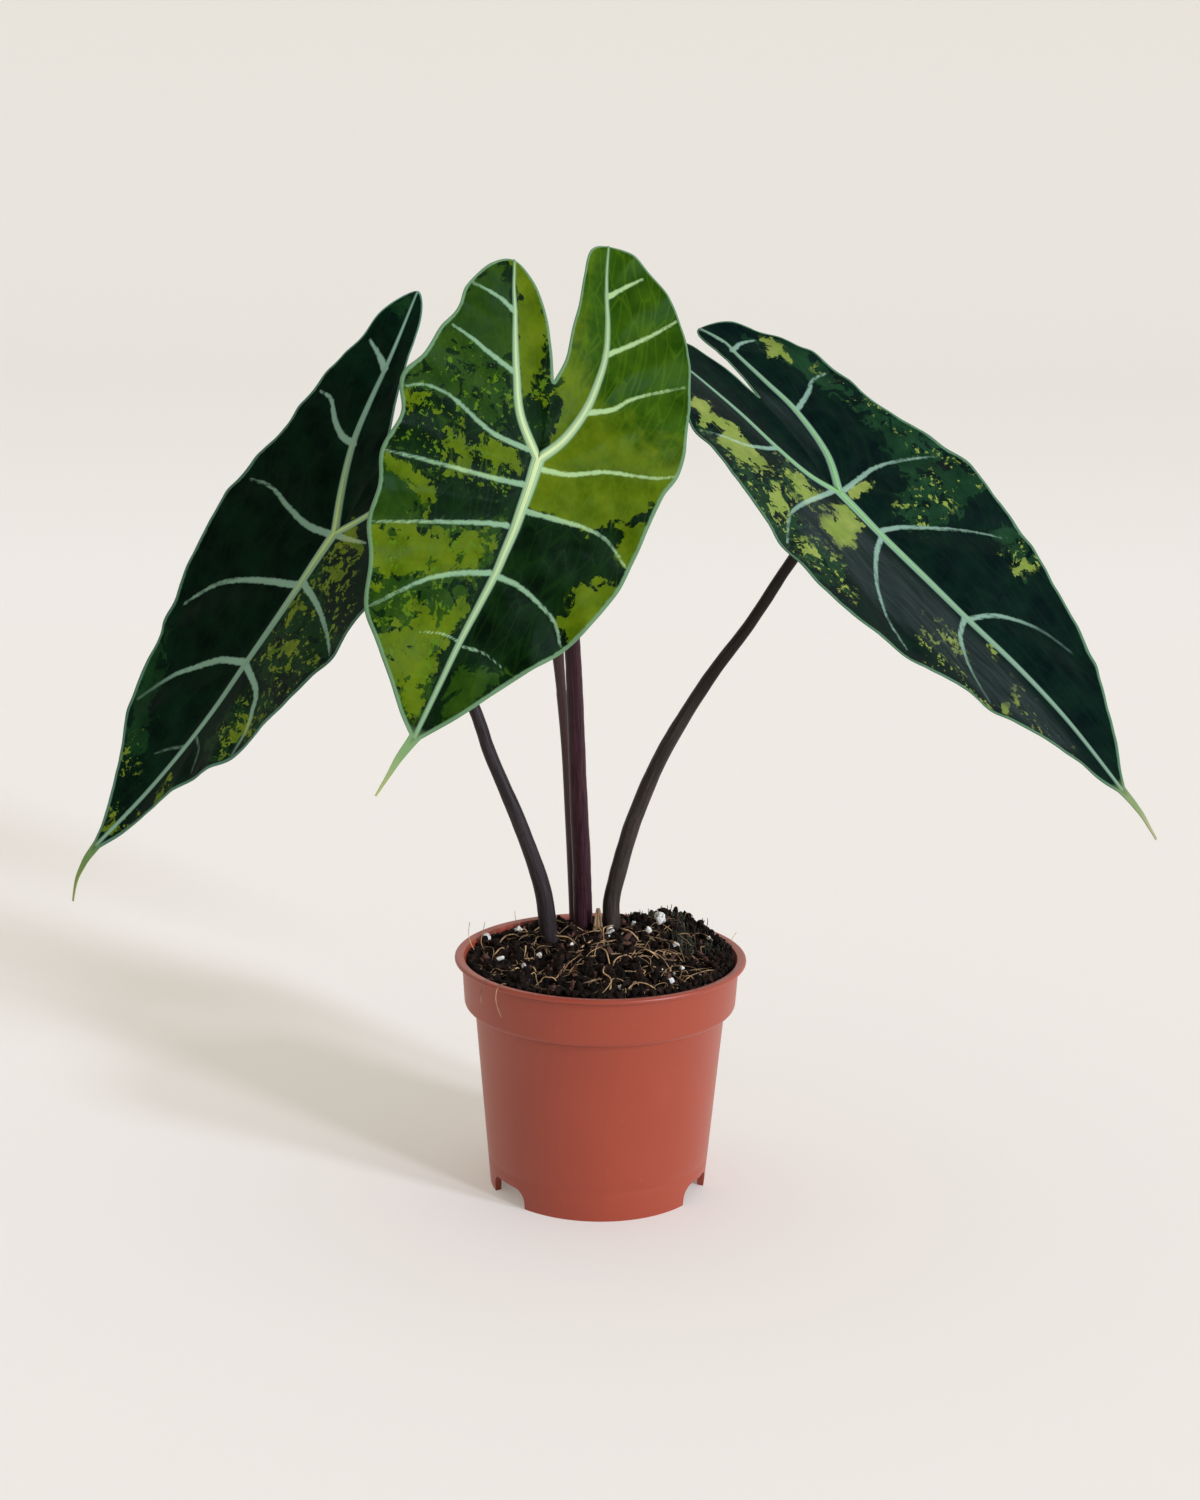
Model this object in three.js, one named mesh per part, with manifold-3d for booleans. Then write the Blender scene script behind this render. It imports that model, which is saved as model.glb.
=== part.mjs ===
// Potted dragons tooth alocasia: a terracotta-coloured moulded pot filled with peaty soil, three
// arrow-shaped leaves on long bare stalks, a young leaf still rolled up, and the dry sheath of an
// old one. Millimetres, +Z up, x to the viewer's right, y away from the viewer. All pieces are laid
// out from the centre of the pot's foot, and the last lines move them so that the origin is the
// middle of the whole plant's box, at the level of the surface that the pot stands on.

import * as THREE from 'three';
import { mergeVertices } from 'three/addons/utils/BufferGeometryUtils.js';
import Module from 'manifold-3d';

const wasm = await Module();
wasm.setup();

// Driving dimensions: the pot

const RIM_RADIUS = 60;
const POT_HEIGHT = 98;
const FOOT_RADIUS = 45;
const BODY_TOP_RADIUS = 51.7;
const BAND_BOTTOM = 77;
const BAND_RADIUS_LOW = 56;
const BAND_RADIUS_HIGH = 57;
const BEAD_DEPTH = 2;
const POT_WALL = 1.4;
const FOOT_WIDTH = 2.6;
const FLOOR_UNDERSIDE = 8.6;
const FLOOR_TOP = 10.2;
const POT_SIDES = 48;
const NOTCH_COUNT = 3;
const NOTCH_FIRST_AZIMUTH = -54.8;
const NOTCH_WIDTH = 21.8;
const NOTCH_HEIGHT = 8;
const NOTCH_CORNER = 5;
const DRAIN_COUNT = 4;
const DRAIN_RADIUS = 4;
const DRAIN_RING = 27;

// Driving dimensions: the soil and what lies in it

const GAP = 0.3;
const SOIL_EDGE = 94;
const SOIL_SLOPE = [0.02, -0.02];
const CROWN_MOUND = { at: [-4, 14], rise: 8, spread: 28 };
const MOSS_MOUND = { at: [28, 36], rise: 6.5, spread: 11 };
const SOIL_SIDES = 40;
const SOIL_RINGS = [51.5, 46, 39.5, 32.5, 25, 17, 9, 2];
const LUMPS = { rise: 0.6, lengthX: 30, lengthY: 37, shiftX: 1.3, shiftY: 0.4 };
const PERLITE = [
  [-48, 21, 3.7], [-35, 34, 2.9], [-41, -8, 2.9], [-31, -14, 1.8], [-25, -6, 2.0], [-12, 0, 1.7],
  [4, 16, 2.9], [25, 28, 4.1], [14, 27, 2.0], [20, 20, 2.4], [31, 7, 2.4], [33, -16, 1.8],
  [49, -3, 2.4], [46, 20, 2.0], [28, -33, 2.4], [8, -40, 1.8],
];
const FIBRES = [
  [[-3, 8], [-7, 0], [-11, -11], [-15, -20], [-18, -29]],
  [[-30, -13], [-27, -17], [-24, -30]],
  [[6, -20], [9, -13], [18, -8], [25, -7]],
  [[22, -18], [18, -25], [13, -36]],
  [[-46, -12], [-37, -21], [-33, -30]],
  [[3, -31], [6, -17], [13, -4]],
  [[30, 14], [26, -4], [34, -13]],
];
const FIBRE_THICKNESS = 0.9;
const FIBRE_LIFT = 0.2;
const FIBRE_END_SINKS = 0.9;
const GRAIN_SHORTEST = 0.75;
const GRAIN_LONGEST = 1.05;

// Driving dimensions: the rootstock, the stalks, the young leaf and the dry sheath

const ROOT_TOP = 84.7;
const ROOT_DEPTH = 27;
const ROOT_RADIUS = 14;
const ROOT_AXIS = [-7, 22.5];
const STALK_SIDES = 10;
const HOLE_RINGS = 5;
const YOUNG_LEAF = {
  route: [[-11, 31.5, 85], [-11, 34, 101], [-12.3, 33, 125], [-13.8, 31, 149.5], [-15.8, 27, 181.5],
    [-18.8, 21, 215], [-22, 17, 242], [-25, 14, 265], [-27, 12.5, 288]],
  radii: [2.7, 2.5, 2.3, 2.1, 2.0, 2.4, 3.3, 2.6, 0.5],
};
const SHEATH = {
  at: [-1.2, 20.2],
  foot: 90,
  top: 112,
  width: 5.5,
  topWidth: 1.4,
  thickness: 0.7,
  bend: 6,
  lean: 1.5,
  levels: [0, 0.3, 0.6, 0.85, 1],
};

// Driving dimensions: the leaves. Each blade has its own frame: "along" runs from the place where
// the stalk joins it towards its tip, "across" runs to the side, and "up" is out of its face.
// azimuth and dip turn "along" in plan and below the horizontal, and roll turns the face about it.
// midrib holds the rows of the blade that spring from its midrib, as [along, across]. Each half's
// lobe vein, margin and inner edge are [along, distance across], row by row from the lobe's tip,
// which is the margin's first point, and veins lists the rows that are side veins.

const BLADE_THICKNESS = 0.8;
const RIB_HALF_WIDTH = 2.2;
const RIB_ABOVE = 0.5;
const RIB_BELOW = 1.5;
const VEIN_ABOVE = 0.25;
const VEIN_BELOW = 0.45;
const QUILT = 1.1;
const EDGE_WAVE = 1.0;
const ROW_BOW = 0.12;
const ROWS_PER_STEP = 2;
const OUTER_COLUMNS = [0.25, 0.5, 0.75, 0.93, 1];
const INNER_COLUMNS = [0.5, 1];
const TAIL_COLUMNS = [0, 0, 0.5, 0.5, 0.5, 1, 1];
const TAIL_HALF_WIDTH = 2.7;
const TAIL_END_HALF_WIDTH = 0.5;
const TAIL_RIB = 0.25;
const FOLD_ROUNDING = 4;
const TIP_REACH = 150;
const LOBE_REACH = 100;

const LEAVES = [
  {
    name: 'centre',
    junction: [-26, -45, 303],
    azimuth: -131,
    dip: 58,
    roll: -57,
    fold: 4,
    tipDrop: 14,
    lobeDrop: 10,
    midrib: [[0, 0], [5.5, -0.5], [11, -1], [19.5, -1.5], [28, -2], [37.5, -2], [47, -2], [61, -1],
      [75, 0], [94, 0.5], [113, 1]],
    tail: [[122, 3], [130, 4], [138, 5]],
    halves: [
      {
        side: 1,
        lobeVein: [[-57, 33.5], [-48, 29.5], [-37, 25], [-26, 20], [-12, 12.5]],
        margin: [[-67, 37], [-60, 45], [-48, 50], [-37, 50], [-28, 53], [-15, 55], [-4, 59], [9, 54],
          [24, 55], [37, 51], [50, 49], [63, 43], [79, 37], [91, 26], [100, 17], [107, 10], [113, 3]],
        inner: [[-62, 27], [-52, 18], [-41, 11.5], [-30, 6]],
        veins: [0, 2, 4, 6, 8, 10, 12, 14],
      },
      {
        side: -1,
        lobeVein: [[-82, -2], [-72, 1.5], [-62, 5.5], [-50, 9], [-38, 10], [-25, 9.5], [-11, 6]],
        margin: [[-93, -5], [-94, 5], [-90, 15], [-84, 24], [-78, 31], [-66, 38], [-54, 44], [-37, 48],
          [-20, 52], [-8, 49], [6, 48], [24, 48], [36, 46], [49, 42], [62, 37], [74, 28], [86, 20],
          [100, 11], [113, 1.5]],
        inner: [[-87, -11], [-75, -10], [-64, -8], [-53, -7], [-41, -5], [-30, -6]],
        veins: [0, 2, 4, 6, 8, 11, 14, 16],
      },
    ],
  },
  {
    name: 'left',
    junction: [-108, 5, 269],
    azimuth: -167,
    dip: 52,
    roll: -37,
    fold: 11,
    tipDrop: 8,
    lobeDrop: 8,
    midrib: [[0, 0], [14, -1], [26, -2], [44, -3], [62, -3.5], [83, -4], [104, -2.5], [130, 1.5],
      [159, 8]],
    tail: [[168, 8.5], [176, 7], [183, 3]],
    halves: [
      {
        side: 1,
        lobeVein: [[-81, 38], [-66, 32], [-50, 26.5], [-33, 20], [-15, 10]],
        margin: [[-99, 46], [-90, 50], [-74, 51], [-58, 50], [-43, 52], [-20, 49], [5, 53], [30, 50],
          [66, 42], [78, 37], [104, 33.5], [114, 27], [124, 21], [140, 14], [158, 10]],
        inner: [[-90, 35], [-71, 24.5], [-52, 13], [-34, 1]],
        veins: [0, 2, 4, 6, 8, 10, 12],
      },
      {
        side: -1,
        lobeVein: [[-77, 36], [-62, 30], [-46, 24.5], [-30, 18], [-14, 9.5]],
        margin: [[-93, 43], [-86, 48], [-70, 50], [-54, 49], [-38, 50], [-17, 47], [3, 49], [20, 46.5],
          [41, 46], [66, 40.5], [90, 33], [105, 23], [116, 15], [136, 6], [159, -6]],
        inner: [[-84, 32.5], [-67, 22.5], [-50, 11], [-34, -1]],
        veins: [0, 2, 4, 6, 8, 10, 12],
      },
    ],
  },
  {
    name: 'right',
    junction: [93, 15, 287],
    azimuth: -29,
    dip: 42,
    roll: 21,
    fold: 10,
    tipDrop: 4,
    lobeDrop: 6,
    midrib: [[0, 0], [12, -0.5], [24, -1], [48, -3], [72, -5], [100, -8], [128, -9], [161, -7]],
    tail: [[168, -7], [177, -6], [184, -4]],
    halves: [
      {
        side: 1,
        lobeVein: [[-84, 14.5], [-69, 13], [-50, 11], [-30, 10], [-13, 7]],
        margin: [[-97, 13], [-93, 23], [-80, 31], [-66, 36.5], [-52, 43], [-22, 49.5], [13, 56.5],
          [42, 55.5], [75, 43.5], [93, 31], [112, 21], [128, 10], [142, 3], [161, -5]],
        inner: [[-91, 3], [-78, -1.5], [-66, -3], [-53, -4]],
        veins: [0, 2, 4, 6, 8, 10, 12],
      },
      {
        side: -1,
        lobeVein: [[-84, 14.5], [-74, 14], [-58, 14], [-40, 14], [-17, 9.5]],
        margin: [[-95, 11], [-91, 22], [-80, 31], [-65, 38.5], [-51, 44], [-22, 46], [14, 59], [38, 57],
          [60, 54.5], [86, 47], [113, 39], [133, 27], [149, 17], [161, 9]],
        inner: [[-88, 7.5], [-76, 8], [-64, 6.5], [-53, 4]],
        veins: [0, 2, 4, 6, 8, 10, 12],
      },
    ],
  },
];

// Each stalk runs from the rootstock, out of the soil, to the underside of its blade
const STALKS = {
  centre: {
    route: [[-7.5, 23, 85], [-7.5, 25.5, 101], [-8.5, 22, 131], [-10, 15, 160], [-11, 6, 186],
      [-13, -10, 228.5], [-17, -24, 260], [-22, -36, 285]],
    radii: [4.4, 4.1, 3.9, 3.7, 3.5, 3.2, 2.9, 2.7, 2.5],
  },
  left: {
    route: [[-15, 14.5, 85], [-21, 10.5, 100.5], [-24.6, 9, 123.5], [-33.5, 8, 149.5], [-45.8, 8, 179],
      [-52, 8, 197], [-61, 8, 217], [-74, 8.5, 236.5], [-90, 8, 254]],
    radii: [4.2, 3.8, 3.5, 3.1, 2.7, 2.6, 2.5, 2.4, 2.3, 2.2],
  },
  right: {
    route: [[1.5, 25.5, 85], [4.5, 27, 101], [4.5, 27.5, 113.5], [9.5, 28, 135], [15, 28, 153],
      [25.8, 27, 179], [42.8, 26, 208.5], [59.7, 24, 233], [74.7, 21, 258]],
    radii: [4.2, 3.8, 3.6, 3.5, 3.4, 3.1, 2.7, 2.4, 2.3, 2.2],
  },
};

// Finishes

const finish = (color, roughness) => new THREE.MeshStandardMaterial({ color, roughness, metalness: 0 });

const TERRACOTTA_PLASTIC = () => finish('#a9553d', 0.45);
const PEAT = () => finish('#2a201b', 0.95);
const CORM = () => finish('#6b4a33', 0.85);
const DARK_LEAF = () => finish('#17301c', 0.35);
const PURPLE_STALK = () => finish('#4a2a33', 0.4);
const YOUNG_STALK = () => finish('#6a3f38', 0.4);
const DRY_SHEATH = () => finish('#a98a63', 0.8);

// Solids: geometry to solid and back, and joining and cutting

function positionsOnly(geometry) {
  const plain = geometry.clone();
  plain.deleteAttribute('normal');
  plain.deleteAttribute('uv');
  return mergeVertices(plain, 1e-4);
}

function toSolid(geometry) {
  const merged = positionsOnly(geometry);
  const vertProperties = new Float32Array(merged.attributes.position.array);
  const triVerts = new Uint32Array(merged.index.array);
  return new wasm.Manifold(new wasm.Mesh({ numProp: 3, vertProperties, triVerts }));
}

function toGeometry(solid) {
  const mesh = solid.getMesh();
  const geometry = new THREE.BufferGeometry();
  geometry.setAttribute('position', new THREE.Float32BufferAttribute(mesh.vertProperties, 3));
  geometry.setIndex(Array.from(mesh.triVerts));
  geometry.computeVertexNormals();
  return geometry;
}

// A closed tube through rings of points, each ring with the same count, capped at both ends
function loft(rings) {
  const sides = rings[0].length;
  const points = rings.flat();
  const faces = [];
  for (let ring = 0; ring < rings.length - 1; ring++) {
    for (let side = 0; side < sides; side++) {
      const next = (side + 1) % sides;
      const [a, b] = [ring * sides + side, ring * sides + next];
      faces.push(a, b, b + sides, a, b + sides, a + sides);
    }
  }
  const last = (rings.length - 1) * sides;
  for (let side = 1; side < sides - 1; side++) {
    faces.push(0, side + 1, side, last, last + side, last + side + 1);
  }
  const geometry = new THREE.BufferGeometry();
  geometry.setAttribute('position', new THREE.Float32BufferAttribute(points.flatMap((p) => p.toArray()), 3));
  geometry.setIndex(faces);
  geometry.computeVertexNormals();
  return geometry;
}

const vector = (list) => new THREE.Vector3(...list);
const flatCurve = (points) => new THREE.SplineCurve(points.map(([x, y]) => new THREE.Vector2(x, y)));

// Rings of a round stem along a route, its radius eased between the given ones. A ring is level at
// the foot, so that the stem stands flat on the rootstock, and square to the route above it.
function stemRings(route, radii, steps, extra = 0) {
  const curve = new THREE.CatmullRomCurve3(route.map(vector), false, 'catmullrom', 0.5);
  const thickness = flatCurve(radii.map((radius, index) => [index, radius]));
  const rings = [];
  for (let step = 0; step <= steps; step++) {
    const t = step / steps;
    const centre = curve.getPoint(t);
    const direction = step === 0 ? new THREE.Vector3(0, 0, 1) : curve.getTangent(t);
    const outX = new THREE.Vector3(1, 0, 0).addScaledVector(direction, -direction.x).normalize();
    const outY = new THREE.Vector3().crossVectors(direction, outX);
    const radius = thickness.getPoint(t).y + extra;
    rings.push(Array.from({ length: STALK_SIDES }, (_, side) => {
      const angle = (side / STALK_SIDES) * 2 * Math.PI;
      return centre.clone()
        .addScaledVector(outX, radius * Math.cos(angle))
        .addScaledVector(outY, radius * Math.sin(angle));
    }));
  }
  return rings;
}

// Blades

// The three directions of a blade's own frame
function bladeFrame(leaf) {
  const [azimuth, dip, roll] = [leaf.azimuth, leaf.dip, leaf.roll].map(THREE.MathUtils.degToRad);
  const along = new THREE.Vector3(
    Math.cos(dip) * Math.cos(azimuth),
    Math.cos(dip) * Math.sin(azimuth),
    -Math.sin(dip),
  );
  const level = new THREE.Vector3(0, 0, 1).addScaledVector(along, -along.z).normalize();
  const side = new THREE.Vector3().crossVectors(along, level);
  const up = level.multiplyScalar(Math.cos(roll)).addScaledVector(side, Math.sin(roll));
  const across = new THREE.Vector3().crossVectors(along, up);
  return { origin: vector(leaf.junction), along, across, up };
}

// Height of the middle of the blade over its frame: the tip and the lobes bend down, and the two
// halves rise from the midrib in a shallow V
function bladeHeight(leaf, along, across) {
  const droop = along > 0
    ? leaf.tipDrop * (along / TIP_REACH) ** 2
    : leaf.lobeDrop * (along / LOBE_REACH) ** 2;
  const slope = Math.tan(THREE.MathUtils.degToRad(leaf.fold));
  const fold = slope * (Math.hypot(across, FOLD_ROUNDING) - FOLD_ROUNDING);
  return fold - droop;
}

// One half as rows of points from its ribs outwards, each [along, across, height, above, below],
// where above and below are how far the ribs stand out of the two faces
function halfRows(leaf, half) {
  const lobeRows = half.lobeVein.length + 1;
  const lastRow = lobeRows + leaf.midrib.length - 1;
  const vein = flatCurve([half.margin[0], ...half.lobeVein, [0, 0]]);
  const midrib = flatCurve(leaf.midrib);
  const edge = flatCurve([...half.inner.toReversed(), ...half.margin]);
  const edgeSteps = half.inner.length + half.margin.length - 1;
  const sinusRow = half.inner.length;
  const sinus = new THREE.Vector2(...half.inner[sinusRow - 1]);

  const footAt = (t) => {
    if (t <= lobeRows) {
      return vein.getPoint(t / lobeRows);
    }
    const point = midrib.getPoint((t - lobeRows) / (leaf.midrib.length - 1));
    return new THREE.Vector2(point.x, point.y * half.side);
  };
  const marginAt = (t) => edge.getPoint((half.inner.length + t) / edgeSteps);
  const innerAt = (t) => {
    if (t <= sinusRow) {
      return edge.getPoint((half.inner.length - t) / edgeSteps);
    }
    return sinus.clone().multiplyScalar((lobeRows - t) / (lobeRows - sinusRow));
  };

  // How strongly the row is a side vein, from 1 on it to 0 half a row away
  const veinAt = (t) => Math.max(0, ...half.veins.map((row) => 1 - 2 * Math.abs(t - row)));
  const ribSize = (t) => THREE.MathUtils.clamp(
    t < lobeRows ? t / lobeRows : (lastRow - t) / (lastRow - lobeRows),
    0.15,
    1,
  );

  const place = (t, foot, end, u, onRib, bow) => {
    const span = end.clone().sub(foot);
    const point = foot.clone().addScaledVector(span, u);
    point.x -= bow * span.length() * 4 * u * (1 - u);
    const across = point.y * half.side;
    const web = 1 - veinAt(t);
    const quilt = QUILT * web * Math.sin(Math.PI * u);
    const wave = EDGE_WAVE * (2 * web - 1) * u ** 3;
    const height = bladeHeight(leaf, point.x, across) + quilt + wave;
    const sideVein = veinAt(t) * (1 - 0.8 * u);
    const above = Math.max(onRib * RIB_ABOVE * ribSize(t), sideVein * VEIN_ABOVE);
    const below = Math.max(onRib * RIB_BELOW * ribSize(t), sideVein * VEIN_BELOW);
    return [point.x, across, height, above, below];
  };

  const rowCount = lastRow * ROWS_PER_STEP;
  const outer = [];
  const inner = [];
  for (let row = 0; row <= rowCount; row++) {
    const t = row / ROWS_PER_STEP;
    const foot = footAt(t);
    const margin = marginAt(t);
    const bow = ROW_BOW * THREE.MathUtils.smoothstep(t, lobeRows - 3, lobeRows + 2);
    const ribU = Math.min(0.12, RIB_HALF_WIDTH / Math.max(foot.distanceTo(margin), 1));
    const columns = [0, ribU, ...OUTER_COLUMNS];
    outer.push(columns.map((u) => place(t, foot, margin, u, u === 0 ? 1 : 0, bow)));
    if (t <= lobeRows) {
      const end = innerAt(t);
      const innerRib = Math.min(0.25, RIB_HALF_WIDTH / Math.max(foot.distanceTo(end), 1));
      inner.push([0, innerRib, ...INNER_COLUMNS].map((u) => place(t, foot, end, u, u === 0 ? 1 : 0, 0)));
    }
  }
  return { outer, inner };
}

// The drip tip: rows that carry both halves on past the blade, narrowing to a blunt point. Equal
// places in a row become one point, so that the rows here have fewer points than the blade's.
function tailRows(leaf, half) {
  const points = flatCurve([leaf.midrib.at(-1), ...leaf.tail]);
  const rows = [];
  const count = leaf.tail.length;
  for (let row = 1; row <= count; row++) {
    const foot = points.getPoint(row / count);
    const width = THREE.MathUtils.lerp(TAIL_HALF_WIDTH, TAIL_END_HALF_WIDTH, row / count);
    const rib = TAIL_RIB * (1 - row / count);
    rows.push(TAIL_COLUMNS.map((u) => {
      const across = foot.y + half.side * width * u;
      return [foot.x, across, bladeHeight(leaf, foot.x, across), rib * RIB_ABOVE, rib * RIB_BELOW * (1 - u)];
    }));
  }
  return rows;
}

// A closed blade: both faces share one net of points, and a rim joins them along the outline
function bladeGeometry(leaf) {
  const frame = bladeFrame(leaf);
  const points = [];
  const triangles = [];
  const lookup = new Map();
  const pointIndex = (point) => {
    const key = `${point[0].toFixed(3)},${point[1].toFixed(3)}`;
    if (!lookup.has(key)) {
      lookup.set(key, points.length);
      points.push(point);
    }
    return lookup.get(key);
  };
  const addTriangle = (a, b, c) => {
    if (a !== b && b !== c && c !== a) {
      triangles.push([a, b, c]);
    }
  };
  const addStrip = (rows, flip) => {
    const ids = rows.map((row) => row.map(pointIndex));
    for (let row = 0; row < ids.length - 1; row++) {
      for (let column = 0; column < ids[0].length - 1; column++) {
        const [a, b] = [ids[row][column], ids[row][column + 1]];
        const [c, d] = [ids[row + 1][column], ids[row + 1][column + 1]];
        if (flip) {
          addTriangle(a, b, d);
          addTriangle(a, d, c);
        } else {
          addTriangle(a, d, b);
          addTriangle(a, c, d);
        }
      }
    }
  };
  for (const half of leaf.halves) {
    const { outer, inner } = halfRows(leaf, half);
    addStrip(outer, half.side > 0);
    addStrip(inner, half.side < 0);
    addStrip([outer.at(-1), ...tailRows(leaf, half)], half.side > 0);
  }
  return closeSheet(points, triangles, frame);
}

// Turns a net of [along, across, height, above, below] points into a closed thin body
function closeSheet(points, triangles, frame) {
  const edges = new Map();
  for (const [a, b, c] of triangles) {
    for (const [from, to] of [[a, b], [b, c], [c, a]]) {
      edges.set(`${from},${to}`, [from, to]);
    }
  }
  const count = points.length;
  const faces = [];
  for (const [a, b, c] of triangles) {
    faces.push(a, b, c, a + count, c + count, b + count);
  }
  for (const [from, to] of edges.values()) {
    if (!edges.has(`${to},${from}`)) {
      faces.push(from, from + count, to + count, from, to + count, to);
    }
  }
  const place = ([along, across, height, above, below], face) => {
    const lift = face > 0 ? height + BLADE_THICKNESS / 2 + above : height - BLADE_THICKNESS / 2 - below;
    return frame.origin.clone()
      .addScaledVector(frame.along, along)
      .addScaledVector(frame.across, across)
      .addScaledVector(frame.up, lift);
  };
  const places = [1, -1].flatMap((face) => points.map((point) => place(point, face)));
  const geometry = new THREE.BufferGeometry();
  geometry.setAttribute('position', new THREE.Float32BufferAttribute(places.flatMap((p) => p.toArray()), 3));
  geometry.setIndex(faces);
  geometry.computeVertexNormals();
  return geometry;
}

// Stalks: the top ring is cut parallel to the blade's face and stops just under its midrib

function stalkTop(frame) {
  const depth = BLADE_THICKNESS / 2 + RIB_BELOW + GAP;
  return frame.origin.clone().addScaledVector(frame.up, -depth);
}

function stalkRings(leaf, extra = 0) {
  const stalk = STALKS[leaf.name];
  const route = [...stalk.route, stalkTop(bladeFrame(leaf)).toArray()];
  return stemRings(route, stalk.radii, 2 * (route.length - 1), extra);
}

function stalkGeometry(leaf) {
  const frame = bladeFrame(leaf);
  const top = stalkTop(frame);
  const rings = stalkRings(leaf);
  const direction = top.clone().sub(vector(STALKS[leaf.name].route.at(-1))).normalize();
  const slope = direction.dot(frame.up);
  const cut = rings.at(-1).map((point) => {
    const short = point.clone().sub(top).dot(frame.up);
    return point.clone().addScaledVector(direction, -short / slope);
  });
  return loft([...rings.slice(0, -1), cut]);
}

const youngLeafRings = (extra = 0) => stemRings(YOUNG_LEAF.route, YOUNG_LEAF.radii, 18, extra);

// The pot

function potGeometry() {
  const beadBottom = POT_HEIGHT - BEAD_DEPTH;
  const bodyRadius = (z) => FOOT_RADIUS + ((BODY_TOP_RADIUS - FOOT_RADIUS) * z) / BAND_BOTTOM;
  const profile = [
    [0, FLOOR_UNDERSIDE],
    [FOOT_RADIUS - FOOT_WIDTH, FLOOR_UNDERSIDE],
    [FOOT_RADIUS - FOOT_WIDTH, 0],
    [FOOT_RADIUS, 0],
    [bodyRadius(11), 11],
    [BODY_TOP_RADIUS, BAND_BOTTOM],
    [BAND_RADIUS_LOW - 1.6, BAND_BOTTOM + 0.6],
    [BAND_RADIUS_LOW - 0.4, BAND_BOTTOM + 1.8],
    [BAND_RADIUS_LOW, BAND_BOTTOM + 4],
    [BAND_RADIUS_HIGH, beadBottom],
    [RIM_RADIUS - 0.6, beadBottom + 0.3],
    [RIM_RADIUS, beadBottom + 0.9],
    [RIM_RADIUS - 0.4, POT_HEIGHT - 0.4],
    [RIM_RADIUS - 1.6, POT_HEIGHT],
    [BAND_RADIUS_HIGH - 0.4, POT_HEIGHT - 0.2],
    [BAND_RADIUS_HIGH - POT_WALL, POT_HEIGHT - 1.6],
    [BAND_RADIUS_LOW - POT_WALL, BAND_BOTTOM + 3.4],
    [BODY_TOP_RADIUS - POT_WALL, BAND_BOTTOM - 0.2],
    [bodyRadius(FLOOR_TOP) - POT_WALL, FLOOR_TOP],
    [0, FLOOR_TOP],
  ];
  const lathe = new THREE.LatheGeometry(profile.map(([r, z]) => new THREE.Vector2(r, z)), POT_SIDES);
  let solid = toSolid(lathe.rotateX(Math.PI / 2));
  for (let index = 0; index < NOTCH_COUNT; index++) {
    const azimuth = NOTCH_FIRST_AZIMUTH + (index * 360) / NOTCH_COUNT;
    solid = solid.subtract(toSolid(notchCutter(azimuth)));
  }
  for (let index = 0; index < DRAIN_COUNT; index++) {
    const angle = ((index + 0.5) / DRAIN_COUNT) * 2 * Math.PI;
    const drill = new THREE.CylinderGeometry(DRAIN_RADIUS, DRAIN_RADIUS, 8, 12);
    drill.rotateX(Math.PI / 2);
    drill.translate(DRAIN_RING * Math.cos(angle), DRAIN_RING * Math.sin(angle), FLOOR_TOP);
    solid = solid.subtract(toSolid(drill));
  }
  return toGeometry(solid);
}

// A notch in the foot, with rounded upper corners, cut outwards at an azimuth from the front
function notchCutter(azimuth) {
  const half = NOTCH_WIDTH / 2;
  const outline = new THREE.Shape();
  outline.moveTo(-half, -2);
  outline.lineTo(half, -2);
  outline.lineTo(half, NOTCH_HEIGHT - NOTCH_CORNER);
  outline.absarc(half - NOTCH_CORNER, NOTCH_HEIGHT - NOTCH_CORNER, NOTCH_CORNER, 0, Math.PI / 2, false);
  outline.absarc(NOTCH_CORNER - half, NOTCH_HEIGHT - NOTCH_CORNER, NOTCH_CORNER, Math.PI / 2, Math.PI, false);
  const cutter = new THREE.ExtrudeGeometry(outline, { depth: 12, bevelEnabled: false, curveSegments: 5 });
  cutter.translate(0, 0, FOOT_RADIUS - 8);
  cutter.rotateX(Math.PI / 2);
  cutter.rotateZ(THREE.MathUtils.degToRad(azimuth));
  return cutter;
}

// The soil

function mound({ at, rise, spread }, x, y) {
  return rise * Math.exp(-((x - at[0]) ** 2 + (y - at[1]) ** 2) / (2 * spread ** 2));
}

function soilHeight(x, y) {
  const waveX = Math.sin((2 * Math.PI * x) / LUMPS.lengthX + LUMPS.shiftX);
  const waveY = Math.sin((2 * Math.PI * y) / LUMPS.lengthY + LUMPS.shiftY);
  const level = SOIL_EDGE + SOIL_SLOPE[0] * x + SOIL_SLOPE[1] * y;
  return level + mound(CROWN_MOUND, x, y) + mound(MOSS_MOUND, x, y) + LUMPS.rise * waveX * waveY;
}

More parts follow.
